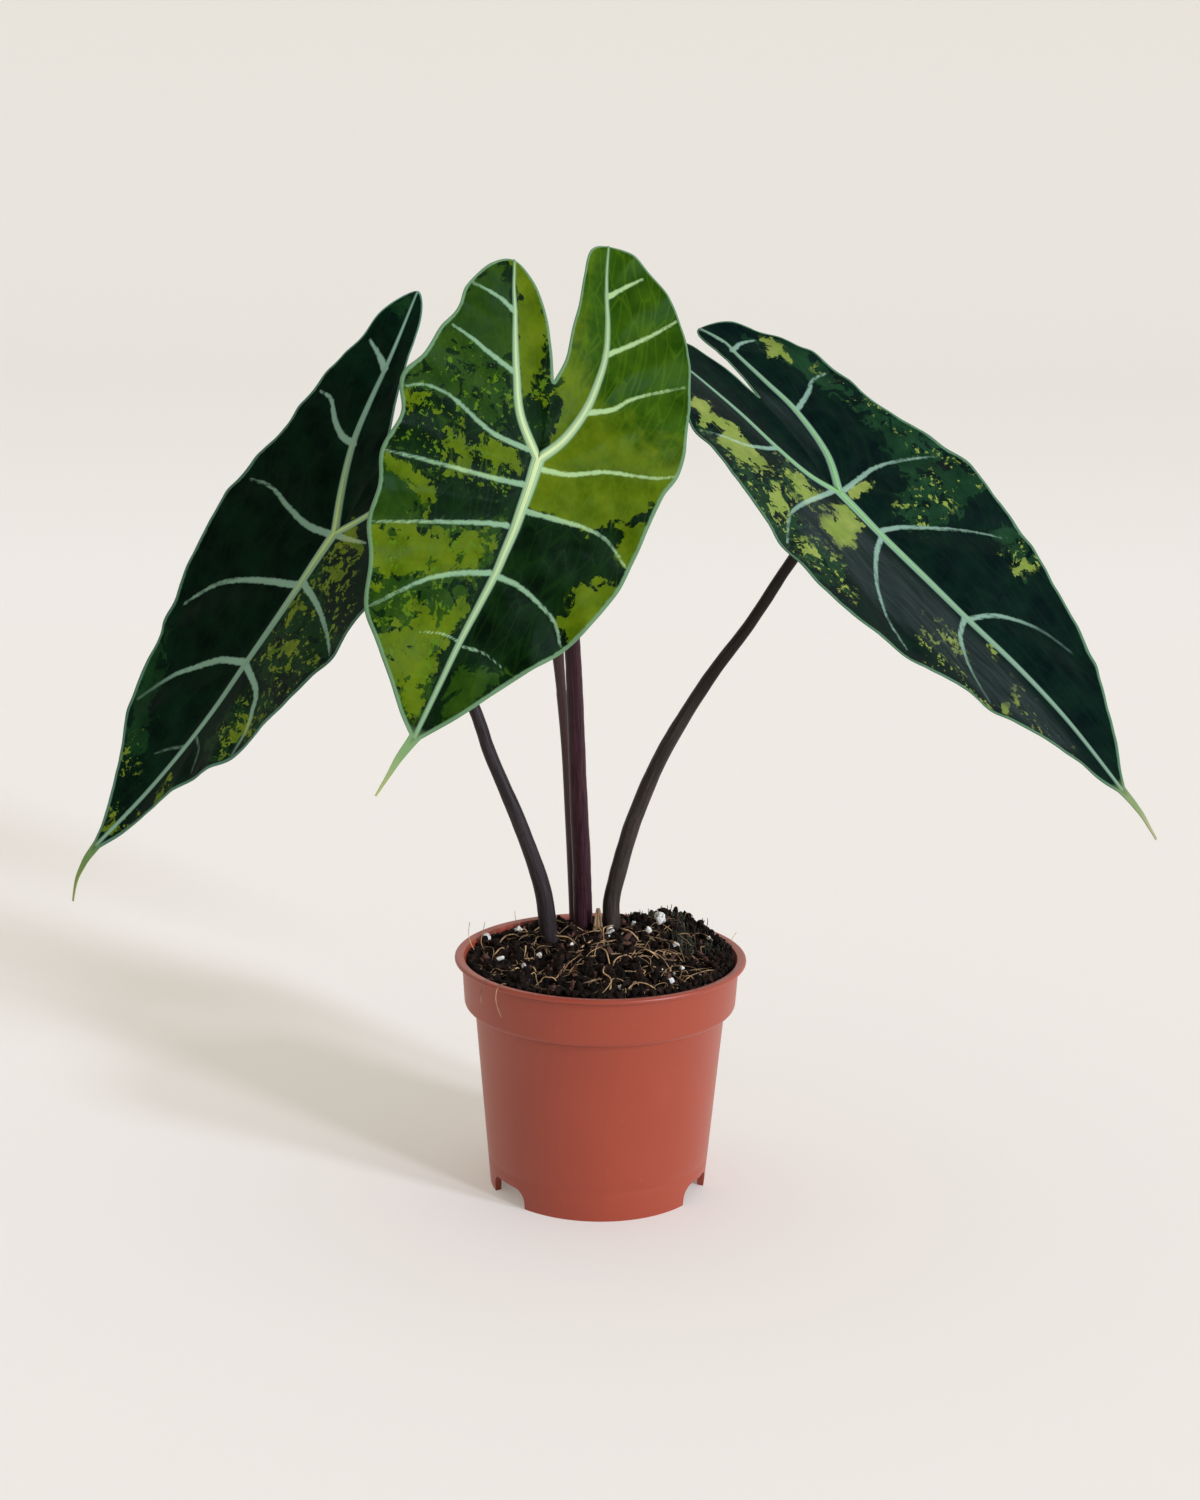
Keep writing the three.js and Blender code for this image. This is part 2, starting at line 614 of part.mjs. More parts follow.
// The plug of soil: rings from the middle of its underside, up its side, and in over its top
function soilBody() {
  const inside = POT_WALL + GAP;
  const floor = FLOOR_TOP + GAP;
  const floorRadius = FOOT_RADIUS + ((BODY_TOP_RADIUS - FOOT_RADIUS) * floor) / BAND_BOTTOM - inside;
  const sideRings = [
    [floorRadius, floor],
    [BODY_TOP_RADIUS - inside, BAND_BOTTOM],
    [BAND_RADIUS_LOW - inside, BAND_BOTTOM + 4],
  ];
  const topEdge = BAND_RADIUS_HIGH - inside - 0.2;
  const ringPoints = (radius, height) => Array.from({ length: SOIL_SIDES }, (_, side) => {
    const angle = (side / SOIL_SIDES) * 2 * Math.PI;
    const [x, y] = [radius * Math.cos(angle), radius * Math.sin(angle)];
    return new THREE.Vector3(x, y, height ?? soilHeight(x, y));
  });
  const rings = sideRings.map(([radius, height]) => ringPoints(radius, height));
  for (const radius of [topEdge, ...SOIL_RINGS]) {
    rings.push(ringPoints(radius));
  }
  return toSolid(loft(rings));
}

// Small seeded random numbers from 0 to 1, the same on every run
function randomFrom(seed) {
  let state = seed;
  return () => {
    state = (state * 16807) % 2147483647;
    return state / 2147483647;
  };
}

function perliteGrain([x, y, size], random) {
  const grain = new THREE.IcosahedronGeometry(size / 2, 0);
  const depth = THREE.MathUtils.lerp(GRAIN_SHORTEST, GRAIN_LONGEST, random());
  const height = THREE.MathUtils.lerp(GRAIN_SHORTEST, GRAIN_LONGEST, random());
  grain.scale(1, depth, height);
  grain.rotateX(random() * Math.PI);
  grain.rotateZ(random() * Math.PI);
  grain.translate(x, y, soilHeight(x, y));
  return grain;
}

function fibre(route) {
  const ends = [0, route.length - 1];
  const points = route.map(([x, y], index) => {
    const lift = ends.includes(index) ? -FIBRE_END_SINKS : FIBRE_LIFT;
    return new THREE.Vector3(x, y, soilHeight(x, y) + lift);
  });
  const curve = new THREE.CatmullRomCurve3(points, false, 'catmullrom', 0.5);
  const section = new THREE.Shape();
  section.absarc(0, 0, FIBRE_THICKNESS / 2, 0, 2 * Math.PI, false);
  const steps = 3 * (route.length - 1);
  const sweep = { steps, extrudePath: curve, bevelEnabled: false, curveSegments: 5 };
  return new THREE.ExtrudeGeometry(section, sweep);
}

function rootstockGeometry(extra) {
  const profile = [
    [0, ROOT_TOP - ROOT_DEPTH - extra],
    [ROOT_RADIUS * 0.5 + extra, ROOT_TOP - ROOT_DEPTH + 1.5 - extra],
    [ROOT_RADIUS * 0.85 + extra, ROOT_TOP - ROOT_DEPTH * 0.75],
    [ROOT_RADIUS + extra, ROOT_TOP - ROOT_DEPTH * 0.4],
    [ROOT_RADIUS + extra, ROOT_TOP - 3],
    [ROOT_RADIUS - 1.5 + extra, ROOT_TOP + extra],
    [0, ROOT_TOP + extra],
  ];
  const lathe = new THREE.LatheGeometry(profile.map(([r, z]) => new THREE.Vector2(r, z)), 20);
  return lathe.rotateX(Math.PI / 2).translate(...ROOT_AXIS, 0);
}

// The dry sheath: a thin curved scale that stands in the soil behind the stalks and leans outwards
function sheathGeometry(extra) {
  const thickness = SHEATH.thickness + 2 * extra;
  const rings = SHEATH.levels.map((level) => {
    const width = THREE.MathUtils.lerp(SHEATH.width, SHEATH.topWidth, level ** 2) + 2 * extra;
    const height = THREE.MathUtils.lerp(SHEATH.foot - extra, SHEATH.top + extra, level);
    const lean = SHEATH.lean * level ** 2;
    const arc = (offset, steps) => steps.map((step) => {
      const angle = (step * width) / (2 * SHEATH.bend);
      const radius = SHEATH.bend + offset;
      const x = SHEATH.at[0] + radius * Math.sin(angle);
      const y = SHEATH.at[1] - lean + radius * Math.cos(angle) - SHEATH.bend;
      return new THREE.Vector3(x, y, height);
    });
    return [...arc(thickness / 2, [1, 0.33, -0.33, -1]), ...arc(-thickness / 2, [-1, -0.33, 0.33, 1])];
  });
  return loft(rings);
}

function soilGeometry() {
  const random = randomFrom(7);
  let solid = soilBody();
  for (const grain of PERLITE) {
    solid = solid.add(toSolid(perliteGrain(grain, random)));
  }
  for (const route of FIBRES) {
    solid = solid.add(toSolid(fibre(route)));
  }
  solid = solid.subtract(toSolid(rootstockGeometry(GAP)));
  const stems = [...LEAVES.map((leaf) => stalkRings(leaf, GAP)), youngLeafRings(GAP)];
  for (const rings of stems) {
    solid = solid.subtract(toSolid(loft(rings.slice(0, HOLE_RINGS))));
  }
  return toGeometry(solid.subtract(toSolid(sheathGeometry(GAP))));
}

// The whole plant

const group = new THREE.Group();

function addPiece(name, geometry, material) {
  const mesh = new THREE.Mesh(geometry, material);
  mesh.name = name;
  group.add(mesh);
}

addPiece('pot', potGeometry(), TERRACOTTA_PLASTIC());
addPiece('soil', soilGeometry(), PEAT());
addPiece('rootstock', rootstockGeometry(0), CORM());
for (const leaf of LEAVES) {
  addPiece(`${leaf.name}_leaf_blade`, bladeGeometry(leaf), DARK_LEAF());
  addPiece(`${leaf.name}_leaf_stalk`, stalkGeometry(leaf), PURPLE_STALK());
}
addPiece('young_rolled_leaf', loft(youngLeafRings()), YOUNG_STALK());
addPiece('dry_leaf_sheath', sheathGeometry(0), DRY_SHEATH());

const box = new THREE.Box3().setFromObject(group);
const middle = box.getCenter(new THREE.Vector3());
group.position.set(-middle.x, -middle.y, 0);

export default group;
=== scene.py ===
# %% [markdown]
# # A potted dragons tooth alocasia
#
# The plant is an aroid with long arrow-shaped leaves on bare stalks, in a small moulded nursery
# pot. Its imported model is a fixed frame: it says where each piece is and how large it is. This
# lesson dresses that frame. Each piece is modelled again with a finer mesh, in millimetres from
# the middle of the pot's foot, and is then moved into the frame, which is in metres.

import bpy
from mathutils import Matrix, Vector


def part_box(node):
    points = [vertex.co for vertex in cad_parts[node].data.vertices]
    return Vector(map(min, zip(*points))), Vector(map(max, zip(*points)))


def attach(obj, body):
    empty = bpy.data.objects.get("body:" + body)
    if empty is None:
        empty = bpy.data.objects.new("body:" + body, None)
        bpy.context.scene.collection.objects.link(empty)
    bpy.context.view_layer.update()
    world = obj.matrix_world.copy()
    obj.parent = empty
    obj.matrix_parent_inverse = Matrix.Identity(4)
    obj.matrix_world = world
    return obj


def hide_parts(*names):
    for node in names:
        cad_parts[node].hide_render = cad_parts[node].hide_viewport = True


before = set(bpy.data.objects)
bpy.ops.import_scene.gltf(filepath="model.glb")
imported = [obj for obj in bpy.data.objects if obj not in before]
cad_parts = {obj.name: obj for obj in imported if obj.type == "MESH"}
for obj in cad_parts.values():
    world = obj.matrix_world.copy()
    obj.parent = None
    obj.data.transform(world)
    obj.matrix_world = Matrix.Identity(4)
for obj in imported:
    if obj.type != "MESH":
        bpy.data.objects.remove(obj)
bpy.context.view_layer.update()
print("nodes:", ", ".join(sorted(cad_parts)))

# %% Units, and the way from the pot's foot into the frame
import functools
import math
import random
from types import SimpleNamespace

import bmesh
import bpy
import numpy as np
from mathutils import Euler, Matrix, Vector, noise

MM = 0.001
pot_low, pot_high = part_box("pot")
pot_axis = (pot_low + pot_high) / 2
TO_FRAME = Matrix.Translation((pot_axis.x, pot_axis.y, 0)) @ Matrix.Scale(MM, 4)
chance = random.Random(11)
print("the pot's axis stands at", [round(value, 4) for value in pot_axis.xy])

# %% [markdown]
# ## Tools for every piece
#
# Most of this plant is sheets and tubes that follow smooth lines. One way serves them all: a flat
# grid is made with an operator, and each of its points is then moved to its place. The grid keeps
# the faces in order, and doubled points are merged where edges meet. The pot and the rootstock are
# turned forms, so they are profiles that spin round an upright axis.

# %% A grid whose points are moved into place


def mapped_grid(bm, columns, rows, settle):
    """Adds a grid and lets settle(point, column, row) put each of its points in place."""
    made = bmesh.ops.create_grid(bm, x_segments=columns, y_segments=rows, size=0.5)
    for point in made["verts"]:
        settle(point, round((point.co.x + 0.5) * columns), round((point.co.y + 0.5) * rows))
    return made["verts"]


# %% Smooth lines through a few points


def on_line(points, share, run_on=False):
    """The place at a share, from 0 to 1, of a smooth line through points. With run_on, the line
    keeps its slope at its ends."""
    last = len(points) - 1
    spot = min(max(share, 0), 1) * last
    index = min(int(spot), last - 1)
    a, b, c, d = (Vector(points[min(max(index + step, 0), last)]) for step in (-1, 0, 1, 2))
    if run_on and index == 0:
        a = 2 * b - c
    if run_on and index == last - 1:
        d = 2 * c - b
    t = spot - index
    bend = (c - a) * t + (2 * a - 5 * b + 4 * c - d) * t**2 + (3 * b - a - 3 * c + d) * t**3
    return b + bend / 2


def drawn(points, count):
    """A smooth line through points, as an array of count + 1 places."""
    return np.array([on_line(points, step / count) for step in range(count + 1)])


def smooth(value, low, high):
    """0 below low, 1 above high, and an even rise between them. Works on arrays too."""
    share = np.clip((value - low) / (high - low), 0, 1)
    return share * share * (3 - 2 * share)


def polar(radius, angle):
    """The place at a radius and an angle round the upright axis."""
    return radius * math.cos(angle), radius * math.sin(angle)


# %% Turned forms, and tubes along a line


def spun(bm, profile, steps):
    """Turns a profile of radius and height round the upright axis, into a closed skin."""
    line = [bm.verts.new((radius, 0, height)) for radius, height in profile]
    edges = [bm.edges.new(pair) for pair in zip(line, line[1:])]
    bmesh.ops.spin(bm, geom=line + edges, cent=(0, 0, 0), axis=(0, 0, 1), angle=2 * math.pi, steps=steps,
                   use_merge=True)
    bmesh.ops.remove_doubles(bm, verts=bm.verts, dist=1e-3)
    bmesh.ops.recalc_face_normals(bm, faces=bm.faces)


def ring_frame(direction):
    """Two directions square to a tube's own, the first as near to x as it can be."""
    flat = Vector((1, 0, 0)) if abs(direction.x) < 0.9 else Vector((0, 1, 0))
    out = (flat - direction * flat.dot(direction)).normalized()
    return out, direction.cross(out)


def tube(bm, route, radius_at, sides, rings, outline=None):
    """A tube along a route. radius_at(share) is its radius, and outline(angle, share) how far its
    skin stands out, as a part of that radius. The layer "lengthwise" gets its place unrolled."""
    lengthwise = bm.verts.layers.float_vector.get("lengthwise")
    length = float(np.linalg.norm(np.diff(drawn(route, 20), axis=0), axis=1).sum())

    @functools.cache
    def ring(row):
        share = row / rings
        ahead = on_line(route, min(share + 0.01, 1), run_on=True)
        behind = on_line(route, max(share - 0.01, 0), run_on=True)
        centre = on_line(route, share, run_on=True)
        return centre, *ring_frame((ahead - behind).normalized()), radius_at(share)

    def settle(point, column, row):
        centre, out, side, radius = ring(row)
        angle = 2 * math.pi * column / sides
        reach = radius * (outline(angle, row / rings) if outline else 1)
        point.co = centre + out * reach * math.cos(angle) + side * reach * math.sin(angle)
        if lengthwise:
            point[lengthwise] = (*polar(radius, angle), length * row / rings)

    points = mapped_grid(bm, sides, rings, settle)
    bmesh.ops.remove_doubles(bm, verts=points, dist=1e-4)
    return [point for point in points if point.is_valid]


# %% Small helps with a model


def close_up(bm):
    """Fills open ends and turns every face outwards."""
    bmesh.ops.holes_fill(bm, edges=[edge for edge in bm.edges if edge.is_boundary], sides=0)
    bmesh.ops.recalc_face_normals(bm, faces=bm.faces)


def drag(bm, made, way):
    """Moves the new corners of an extrusion."""
    corners = [item for item in made["geom"] if isinstance(item, bmesh.types.BMVert)]
    bmesh.ops.translate(bm, vec=way, verts=corners)


def face_towards(bm, way):
    """Turns a sheet's faces over if most of its area looks away from a direction."""
    bm.normal_update()
    if sum(face.normal.dot(way) * face.calc_area() for face in bm.faces) < 0:
        bmesh.ops.reverse_faces(bm, faces=bm.faces)


# %% A finished piece


def new_object(bm, name, *materials):
    """Makes a model into an object of the scene."""
    mesh = bpy.data.meshes.new(name)
    bm.to_mesh(mesh)
    bm.free()
    mesh.shade_smooth()
    for material in materials:
        mesh.materials.append(material)
    made = bpy.data.objects.new(name, mesh)
    bpy.context.scene.collection.objects.link(made)
    return made


def new_piece(bm, name, materials, slot, *replaced):
    """Moves a model from millimetres at the pot's foot into the frame, as a piece of the plant."""
    bmesh.ops.transform(bm, matrix=TO_FRAME, space=Matrix(), verts=bm.verts)
    piece = new_object(bm, name, *materials)
    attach(piece, "root")
    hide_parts(*replaced)
    print(name, "has", len(piece.data.polygons), "faces")
    return piece


# %% [markdown]
# ## Tools for every finish
#
# Each material is a Principled surface whose colour, roughness and fine relief come from nodes.
# One function adds a node. Colours are written as they look on a screen, and one function turns
# them to the linear values that the nodes take. Patterns read places in metres, or attributes in
# millimetres, so the scale of a noise is one over the size of its grain in that unit.

# %% Colours and nodes


def colour(code):
    """The linear colour of an sRGB hex code."""
    parts = [int(code[index:index + 2], 16) / 255 for index in (1, 3, 5)]
    return (*(p / 12.92 if p <= 0.04045 else ((p + 0.055) / 1.055) ** 2.4 for p in parts), 1)


def add(tree, kind, *inputs, **named):
    """Adds a shader node. Inputs come in the order in which the node shows them, or by name, with _
    for a space. Each is a value, a hex colour, a socket, or a node, which stands for its first
    output. A name in small letters is one of the node's settings."""
    node = tree.nodes.new("ShaderNode" + kind)
    for name in filter(str.islower, named):
        setattr(node, name, named[name])
    shown = [socket for socket in node.inputs if socket.enabled]
    chosen = [(node.inputs[name.replace("_", " ")], value)
              for name, value in named.items() if not name.islower()]
    for socket, value in [*zip(shown, inputs), *chosen]:
        if isinstance(value, bpy.types.Node):
            value = next(output for output in value.outputs if output.enabled)
        if isinstance(value, bpy.types.NodeSocket):
            tree.links.new(value, socket)
        else:
            socket.default_value = colour(value) if isinstance(value, str) else value
    return node


def new_material(name):
    """An empty material and its tree of nodes."""
    material = bpy.data.materials.new(name)
    material.use_nodes = True
    material.node_tree.nodes.clear()
    return material, material.node_tree


# %% [markdown]
# ## The stage, the light and the camera
#
# The plant stands on a pale sweep of card that runs up behind it. Soft daylight comes from the
# right and a little in front, and the room's own light fills the shadows. The camera has a 50 mm
# lens on a frame 36 mm high, and looks down on the pot by 12 degrees.

# %% The pale sweep, in metres
CARD_HALF_WIDTH = 2.6
CARD_FRONT = -2.4
CARD_BEND = 1.5
CARD_RADIUS = 0.9
CARD_TOP = 3.2

# The card glows a little of its own, a painted glow though it is no lamp, so that it stays clean and
# pale round the pot. Its upright part faces the windows, so its colour is painted a shade darker there:
# painted shade that evens out their light.
card_stuff, tree = new_material("card with painted glow and painted shade, matte")
facing = add(tree, "SeparateXYZ", add(tree, "NewGeometry").outputs["Normal"])
# Where the card turns upright its colour is painted darker, as painted shade against the windows' light.
upright = add(tree, "MapRange", facing.outputs["Y"], 0, -0.7)
card_tone_with_painted_shade = add(tree, "Mix", upright, "#d9d4cd", "#bdb8ac", data_type="RGBA")
# The emission is a painted glow, since the card is no lamp.
add(tree, "OutputMaterial", add(
    tree, "BsdfPrincipled", Base_Color=card_tone_with_painted_shade, Roughness=0.9, Specular_IOR_Level=0.2,
    Emission_Color="#fffaf0", Emission_Strength=0.2))

sweep = bmesh.new()
profile = [(CARD_FRONT, 0), (CARD_BEND, 0)]
for step in range(1, 13):
    out, up = polar(CARD_RADIUS, math.pi / 2 * (step / 12 - 1))
    profile.append((CARD_BEND + out, CARD_RADIUS + up))
profile.append((CARD_BEND + CARD_RADIUS, CARD_TOP))
start = [sweep.verts.new((-CARD_HALF_WIDTH, y, z)) for y, z in profile]
edges = [sweep.edges.new(pair) for pair in zip(start, start[1:])]
drag(sweep, bmesh.ops.extrude_edge_only(sweep, edges=edges), (2 * CARD_HALF_WIDTH, 0, 0))
bmesh.ops.recalc_face_normals(sweep, faces=sweep.faces)
face_towards(sweep, Vector((0, 0, 1)))
new_object(sweep, "card_sweep", card_stuff)

# %% The room's own light
#
# It fills the shadows. Behind the camera and above it the room is dimmer, so that the waxy leaves
# don't mirror a bright ceiling.
FILL = 0.9
DIM_SIDE = Vector((-0.1, -0.75, 0.65)).normalized()

room = bpy.data.worlds.new("soft room light")
room.use_nodes = True
bpy.context.scene.world = room
bpy.context.scene.view_settings.view_transform = "Standard"
tree = room.node_tree
direction = add(tree, "TexCoord").outputs["Generated"]
towards = add(tree, "VectorMath", direction, DIM_SIDE, operation="DOT_PRODUCT")
level = add(tree, "MapRange", towards, 0.1, 0.9, FILL, 0.5 * FILL)
sky = tree.nodes["Background"]
sky.inputs["Color"].default_value = colour("#fffcf4")
tree.links.new(level.outputs["Result"], sky.inputs["Strength"])

# %% The two windows
#
# Daylight comes from the right and in front, from two windows side by side.


def window(name, azimuth, height, power, softness):
    """Daylight from a direction: azimuth in front of the right, and height, both in degrees."""
    sun = bpy.data.lights.new(name, "SUN")
    sun.energy = power
    sun.angle = math.radians(softness)
    sun.color = colour("#e2e9ff")[:3]
    holder = bpy.data.objects.new(name, sun)
    x, y = polar(math.cos(math.radians(height)), math.radians(-azimuth))
    source = Vector((x, y, math.sin(math.radians(height))))
    holder.rotation_euler = source.to_track_quat("Z", "Y").to_euler()
    bpy.context.scene.collection.objects.link(holder)


window("window_near", 45, 17, 1.9, 7)
window("window_far", 33, 25, 1.55, 8)

# %% The camera, in millimetres from the pot's foot
EYE = Vector((-1.4, -823, 358))
LOOKS_DOWN = math.radians(11.95)
LEANS = math.radians(0.8)

ahead = Vector((0, math.cos(LOOKS_DOWN), -math.sin(LOOKS_DOWN)))
level = Vector((1, 0, 0))
upright = level.cross(ahead)
right = math.cos(LEANS) * level + math.sin(LEANS) * upright
top = math.cos(LEANS) * upright - math.sin(LEANS) * level
lens = bpy.data.cameras.new("camera")
lens.lens = 50
lens.sensor_width = 36
camera = bpy.data.objects.new("camera", lens)
turn = Matrix((right, top, -ahead)).transposed()
camera.matrix_world = Matrix.Translation(TO_FRAME @ EYE) @ turn.to_4x4()
bpy.context.scene.collection.objects.link(camera)
bpy.context.scene.camera = camera
print("the camera stands at", [round(value, 3) for value in camera.location])

# %% [markdown]
# ## The pot
#
# The real pot is one moulding of terracotta-coloured polypropylene, turned in form: a rolled bead,
# a plain band, a tapered body and a short foot with three notches to let water out. Turned things
# come from spinning a profile. The notches and the drain holes are then cut, and a narrow
# bevel rounds every sharp edge so that it catches the light, as a moulding does.

# %% The pot's sizes
RIM_RADIUS = 60
POT_HEIGHT = 98
FOOT_RADIUS = 45
BODY_TOP_RADIUS = 51.7
BAND_BOTTOM = 77
BAND_RADIUS_LOW = 56
BAND_RADIUS_HIGH = 57
BEAD_DEPTH = 2.0
POT_WALL = 1.4
FOOT_WIDTH = 2.6
FLOOR_UNDERSIDE = 8.6
FLOOR_TOP = 10.2
NOTCH_AZIMUTHS = (-54.8, 65.2, 185.2)
NOTCH_WIDTH = 21.8
NOTCH_HEIGHT = 8
NOTCH_CORNER = 5
DRAIN_RADIUS = 4
DRAIN_RING = 27


def body_radius(z):
    """The outer radius of the tapered body at a height."""
    return FOOT_RADIUS + (BODY_TOP_RADIUS - FOOT_RADIUS) * z / BAND_BOTTOM


# %% The pot's material: moulded polypropylene
#
# A mould with a fine spark grain gives a satin skin, a little cloudy where the colour mixed
# unevenly, with faint rings and dust that make it pinkish and pale at grazing angles.
plastic, tree = new_material("moulded terracotta-coloured polypropylene")
place = add(tree, "TexCoord").outputs["Object"]
# Cloudy colour, patches about 25 mm wide
clouds = add(tree, "TexNoise", place, Scale=1 / 0.025, Detail=4, Roughness=0.6)
tone = add(tree, "Mix", clouds, "#8c341e", "#983c23", data_type="RGBA")
# Scuffs and dust: thin pale specks, about 1.2 mm wide
specks = add(tree, "TexNoise", place, Scale=1 / 0.0012, Detail=3, Roughness=0.7)
dusty = add(tree, "MapRange", specks, 0.66, 0.78, 0, 0.4)
skin = add(tree, "Mix", dusty, tone, "#b57a66", data_type="RGBA")
# Spark grain, 0.5 mm here so that it shows, where the real one is finer
grain = add(tree, "TexNoise", place, Scale=1 / 0.0005, Detail=2)
# Turning marks of the mould: faint rings, 1.5 mm apart
flat_place = add(tree, "Mapping", place, Scale=(1, 1, 1 / 0.0015))
rings = add(tree, "TexNoise", flat_place, Scale=1, Detail=1)
relief = add(tree, "Math", rings, 0.5, grain, operation="MULTIPLY_ADD")
bump = add(tree, "Bump", Height=relief, Strength=0.35, Distance=0.00006)
matt = add(tree, "MapRange", clouds, 0, 1, 0.34, 0.46)
add(tree, "OutputMaterial", add(
    tree, "BsdfPrincipled", Base_Color=skin, Roughness=matt, IOR=1.49, Normal=bump,
    Sheen_Weight=0.12, Sheen_Roughness=0.5, Sheen_Tint="#f0c9bb"))

# %% The pot's profile, spun


def arc(centre, radius, first, last, steps=5):
    """Places on an arc, from one angle to another in degrees."""
    turns = [math.radians(first + (last - first) * step / steps) for step in range(steps + 1)]
    return [(centre[0] + out, centre[1] + up) for out, up in (polar(radius, turn) for turn in turns)]


BEAD = BEAD_DEPTH / 2
HIP = 2.2
CREASE = 12.6
LIP = 0.9
foot_inside = FOOT_RADIUS - FOOT_WIDTH
bead_foot = POT_HEIGHT - BEAD_DEPTH
profile = [
    (0, FLOOR_UNDERSIDE), (foot_inside - 1, FLOOR_UNDERSIDE), (foot_inside, FLOOR_UNDERSIDE - 1),
    (foot_inside, 0), (FOOT_RADIUS, 0), *((body_radius(z), z) for z in (5, 9, CREASE - 0.5)),
    (body_radius(CREASE) - 0.12, CREASE),
    *((body_radius(z), z) for z in (CREASE + 0.5, 20, 45, BAND_BOTTOM - 1.2)),
    *arc((BODY_TOP_RADIUS + LIP, BAND_BOTTOM - LIP), LIP, 180, 100, 4),
    *arc((BAND_RADIUS_LOW - HIP, BAND_BOTTOM + HIP + 0.2), HIP, -80, 0),
    (BAND_RADIUS_HIGH, bead_foot - 0.5), (BAND_RADIUS_HIGH + 0.5, bead_foot),
    *arc((RIM_RADIUS - BEAD, POT_HEIGHT - BEAD), BEAD, -75, 100, 9),
    (BAND_RADIUS_HIGH - 0.6, POT_HEIGHT - 0.4), (BAND_RADIUS_HIGH - POT_WALL, POT_HEIGHT - 1.8),
    (BAND_RADIUS_LOW - POT_WALL, BAND_BOTTOM + 3.4), (BODY_TOP_RADIUS - POT_WALL, BAND_BOTTOM - 0.2),
    (body_radius(FLOOR_TOP) - POT_WALL, FLOOR_TOP), (0, FLOOR_TOP),
]
bm = bmesh.new()
spun(bm, profile, 160)
pot = new_piece(bm, "pot_moulding", [plastic], "moulded_plastic", "pot")

# %% Notches and drain holes, cut
#
# Each notch is cut by a rounded door that reaches from 8 mm inside the foot's skin to 4 mm outside.
cutters = bmesh.new()
half = NOTCH_WIDTH / 2
corner = half - NOTCH_CORNER
bow = [(-half, -2), (half, -2)]
bow += arc((corner, NOTCH_HEIGHT - NOTCH_CORNER), NOTCH_CORNER, 0, 90, 8)
bow += arc((-corner, NOTCH_HEIGHT - NOTCH_CORNER), NOTCH_CORNER, 90, 180, 8)
for azimuth in NOTCH_AZIMUTHS:
    turn = Matrix.Rotation(math.radians(azimuth), 4, "Z")
    door = cutters.faces.new([cutters.verts.new(turn @ Vector((x, -(FOOT_RADIUS - 8), z))) for x, z in bow])
    drag(cutters, bmesh.ops.extrude_face_region(cutters, geom=[door]), turn @ Vector((0, -12, 0)))
for index in range(4):
    hole = Vector((*polar(DRAIN_RING, (index + 0.5) * math.pi / 2), FLOOR_TOP))
    bmesh.ops.create_cone(cutters, cap_ends=True, segments=32, radius1=DRAIN_RADIUS,
                          radius2=DRAIN_RADIUS, depth=8, matrix=Matrix.Translation(hole))
bmesh.ops.transform(cutters, matrix=TO_FRAME, space=Matrix(), verts=cutters.verts)
bmesh.ops.recalc_face_normals(cutters, faces=cutters.faces)
cutter = new_object(cutters, "cutters")
cut = pot.modifiers.new("notches and drains", "BOOLEAN")
cut.operation = "DIFFERENCE"
cut.solver = "EXACT"
cut.object = cutter
bpy.context.view_layer.update()
finished = bpy.data.meshes.new_from_object(pot.evaluated_get(bpy.context.evaluated_depsgraph_get()))
pot.modifiers.clear()
pot.data = finished
bpy.data.objects.remove(cutter)

# %% The moulding's rounded edges
SHARP_ANGLE = math.radians(38)
finished.shade_smooth()
finished.set_sharp_from_angle(angle=SHARP_ANGLE)
round_off = pot.modifiers.new("moulded edges", "BEVEL")
round_off.width = 0.35 * MM
round_off.segments = 2
round_off.limit_method = "ANGLE"
round_off.angle_limit = SHARP_ANGLE
round_off.harden_normals = True
print("the pot has", len(finished.polygons), "faces after its cuts")

# %% [markdown]
# ## The soil
#
# The mix is dark peat with coir fibre, bark chips and white perlite. It is a bed with a lumpy
# surface, and on it lie loose pieces that are modelled one by one: crumbs, chips, grains and
# fibres. The bed rises to a mound at the stalks and to a small mossy one at the back right.

# %% The lie of the soil
GAP = 0.3
SOIL_EDGE = 94
SOIL_SLOPE = 0.02
MOUNDS = (((-4, 14), 8, 28), ((28, 36), 6.5, 11))
SOIL_RADIUS = BAND_RADIUS_HIGH - POT_WALL - GAP - 0.2
BANK = 2.4
BANK_WIDTH = 9
BANK_LOW_AT = 125


def soil_height(x, y):
    """The height of the soil's surface at a place in plan."""
    # Long waves, 30 and 37 mm from crest to crest
    waves = math.sin(2 * math.pi * x / 30 + 1.3) * math.sin(2 * math.pi * y / 37 + 0.4)
    height = SOIL_EDGE + SOIL_SLOPE * (x - y) + 0.6 * waves
    # The mix is banked up against the pot's wall, but not at the back left, where the wall shows
    low = max(0, math.cos(math.atan2(y, x) - math.radians(BANK_LOW_AT)))
    from_wall = SOIL_RADIUS - math.hypot(x, y)
    height += BANK * (1 - 1.2 * low) * max(0, 1 - from_wall / BANK_WIDTH)
    for (at_x, at_y), rise, spread in MOUNDS:
        height += rise * math.exp(-((x - at_x) ** 2 + (y - at_y) ** 2) / (2 * spread**2))
    return height


def lumps(x, y):
    """The surface's roughness: clods about 9 mm wide, crumbs about 3 mm and grit about 1 mm."""
    clods = noise.noise(Vector((x / 9, y / 9, 1)))
    crumbs = abs(noise.noise(Vector((x / 3.4, y / 3.4, 5))))
    grit = noise.noise(Vector((x / 1.3, y / 1.3, 9)))
    return 1.9 * clods + 2.8 * crumbs - 0.9 + 0.4 * grit


def lying(x, y, lift=0):
    """A place on the rough soil, or a little above it."""
    return Vector((x, y, soil_height(x, y) + lumps(x, y) + lift))


def resting(x, y, lift):
    """A place above the soil for something that bridges its hollows."""
    return Vector((x, y, soil_height(x, y) + max(lumps(x, y), 0) + lift))


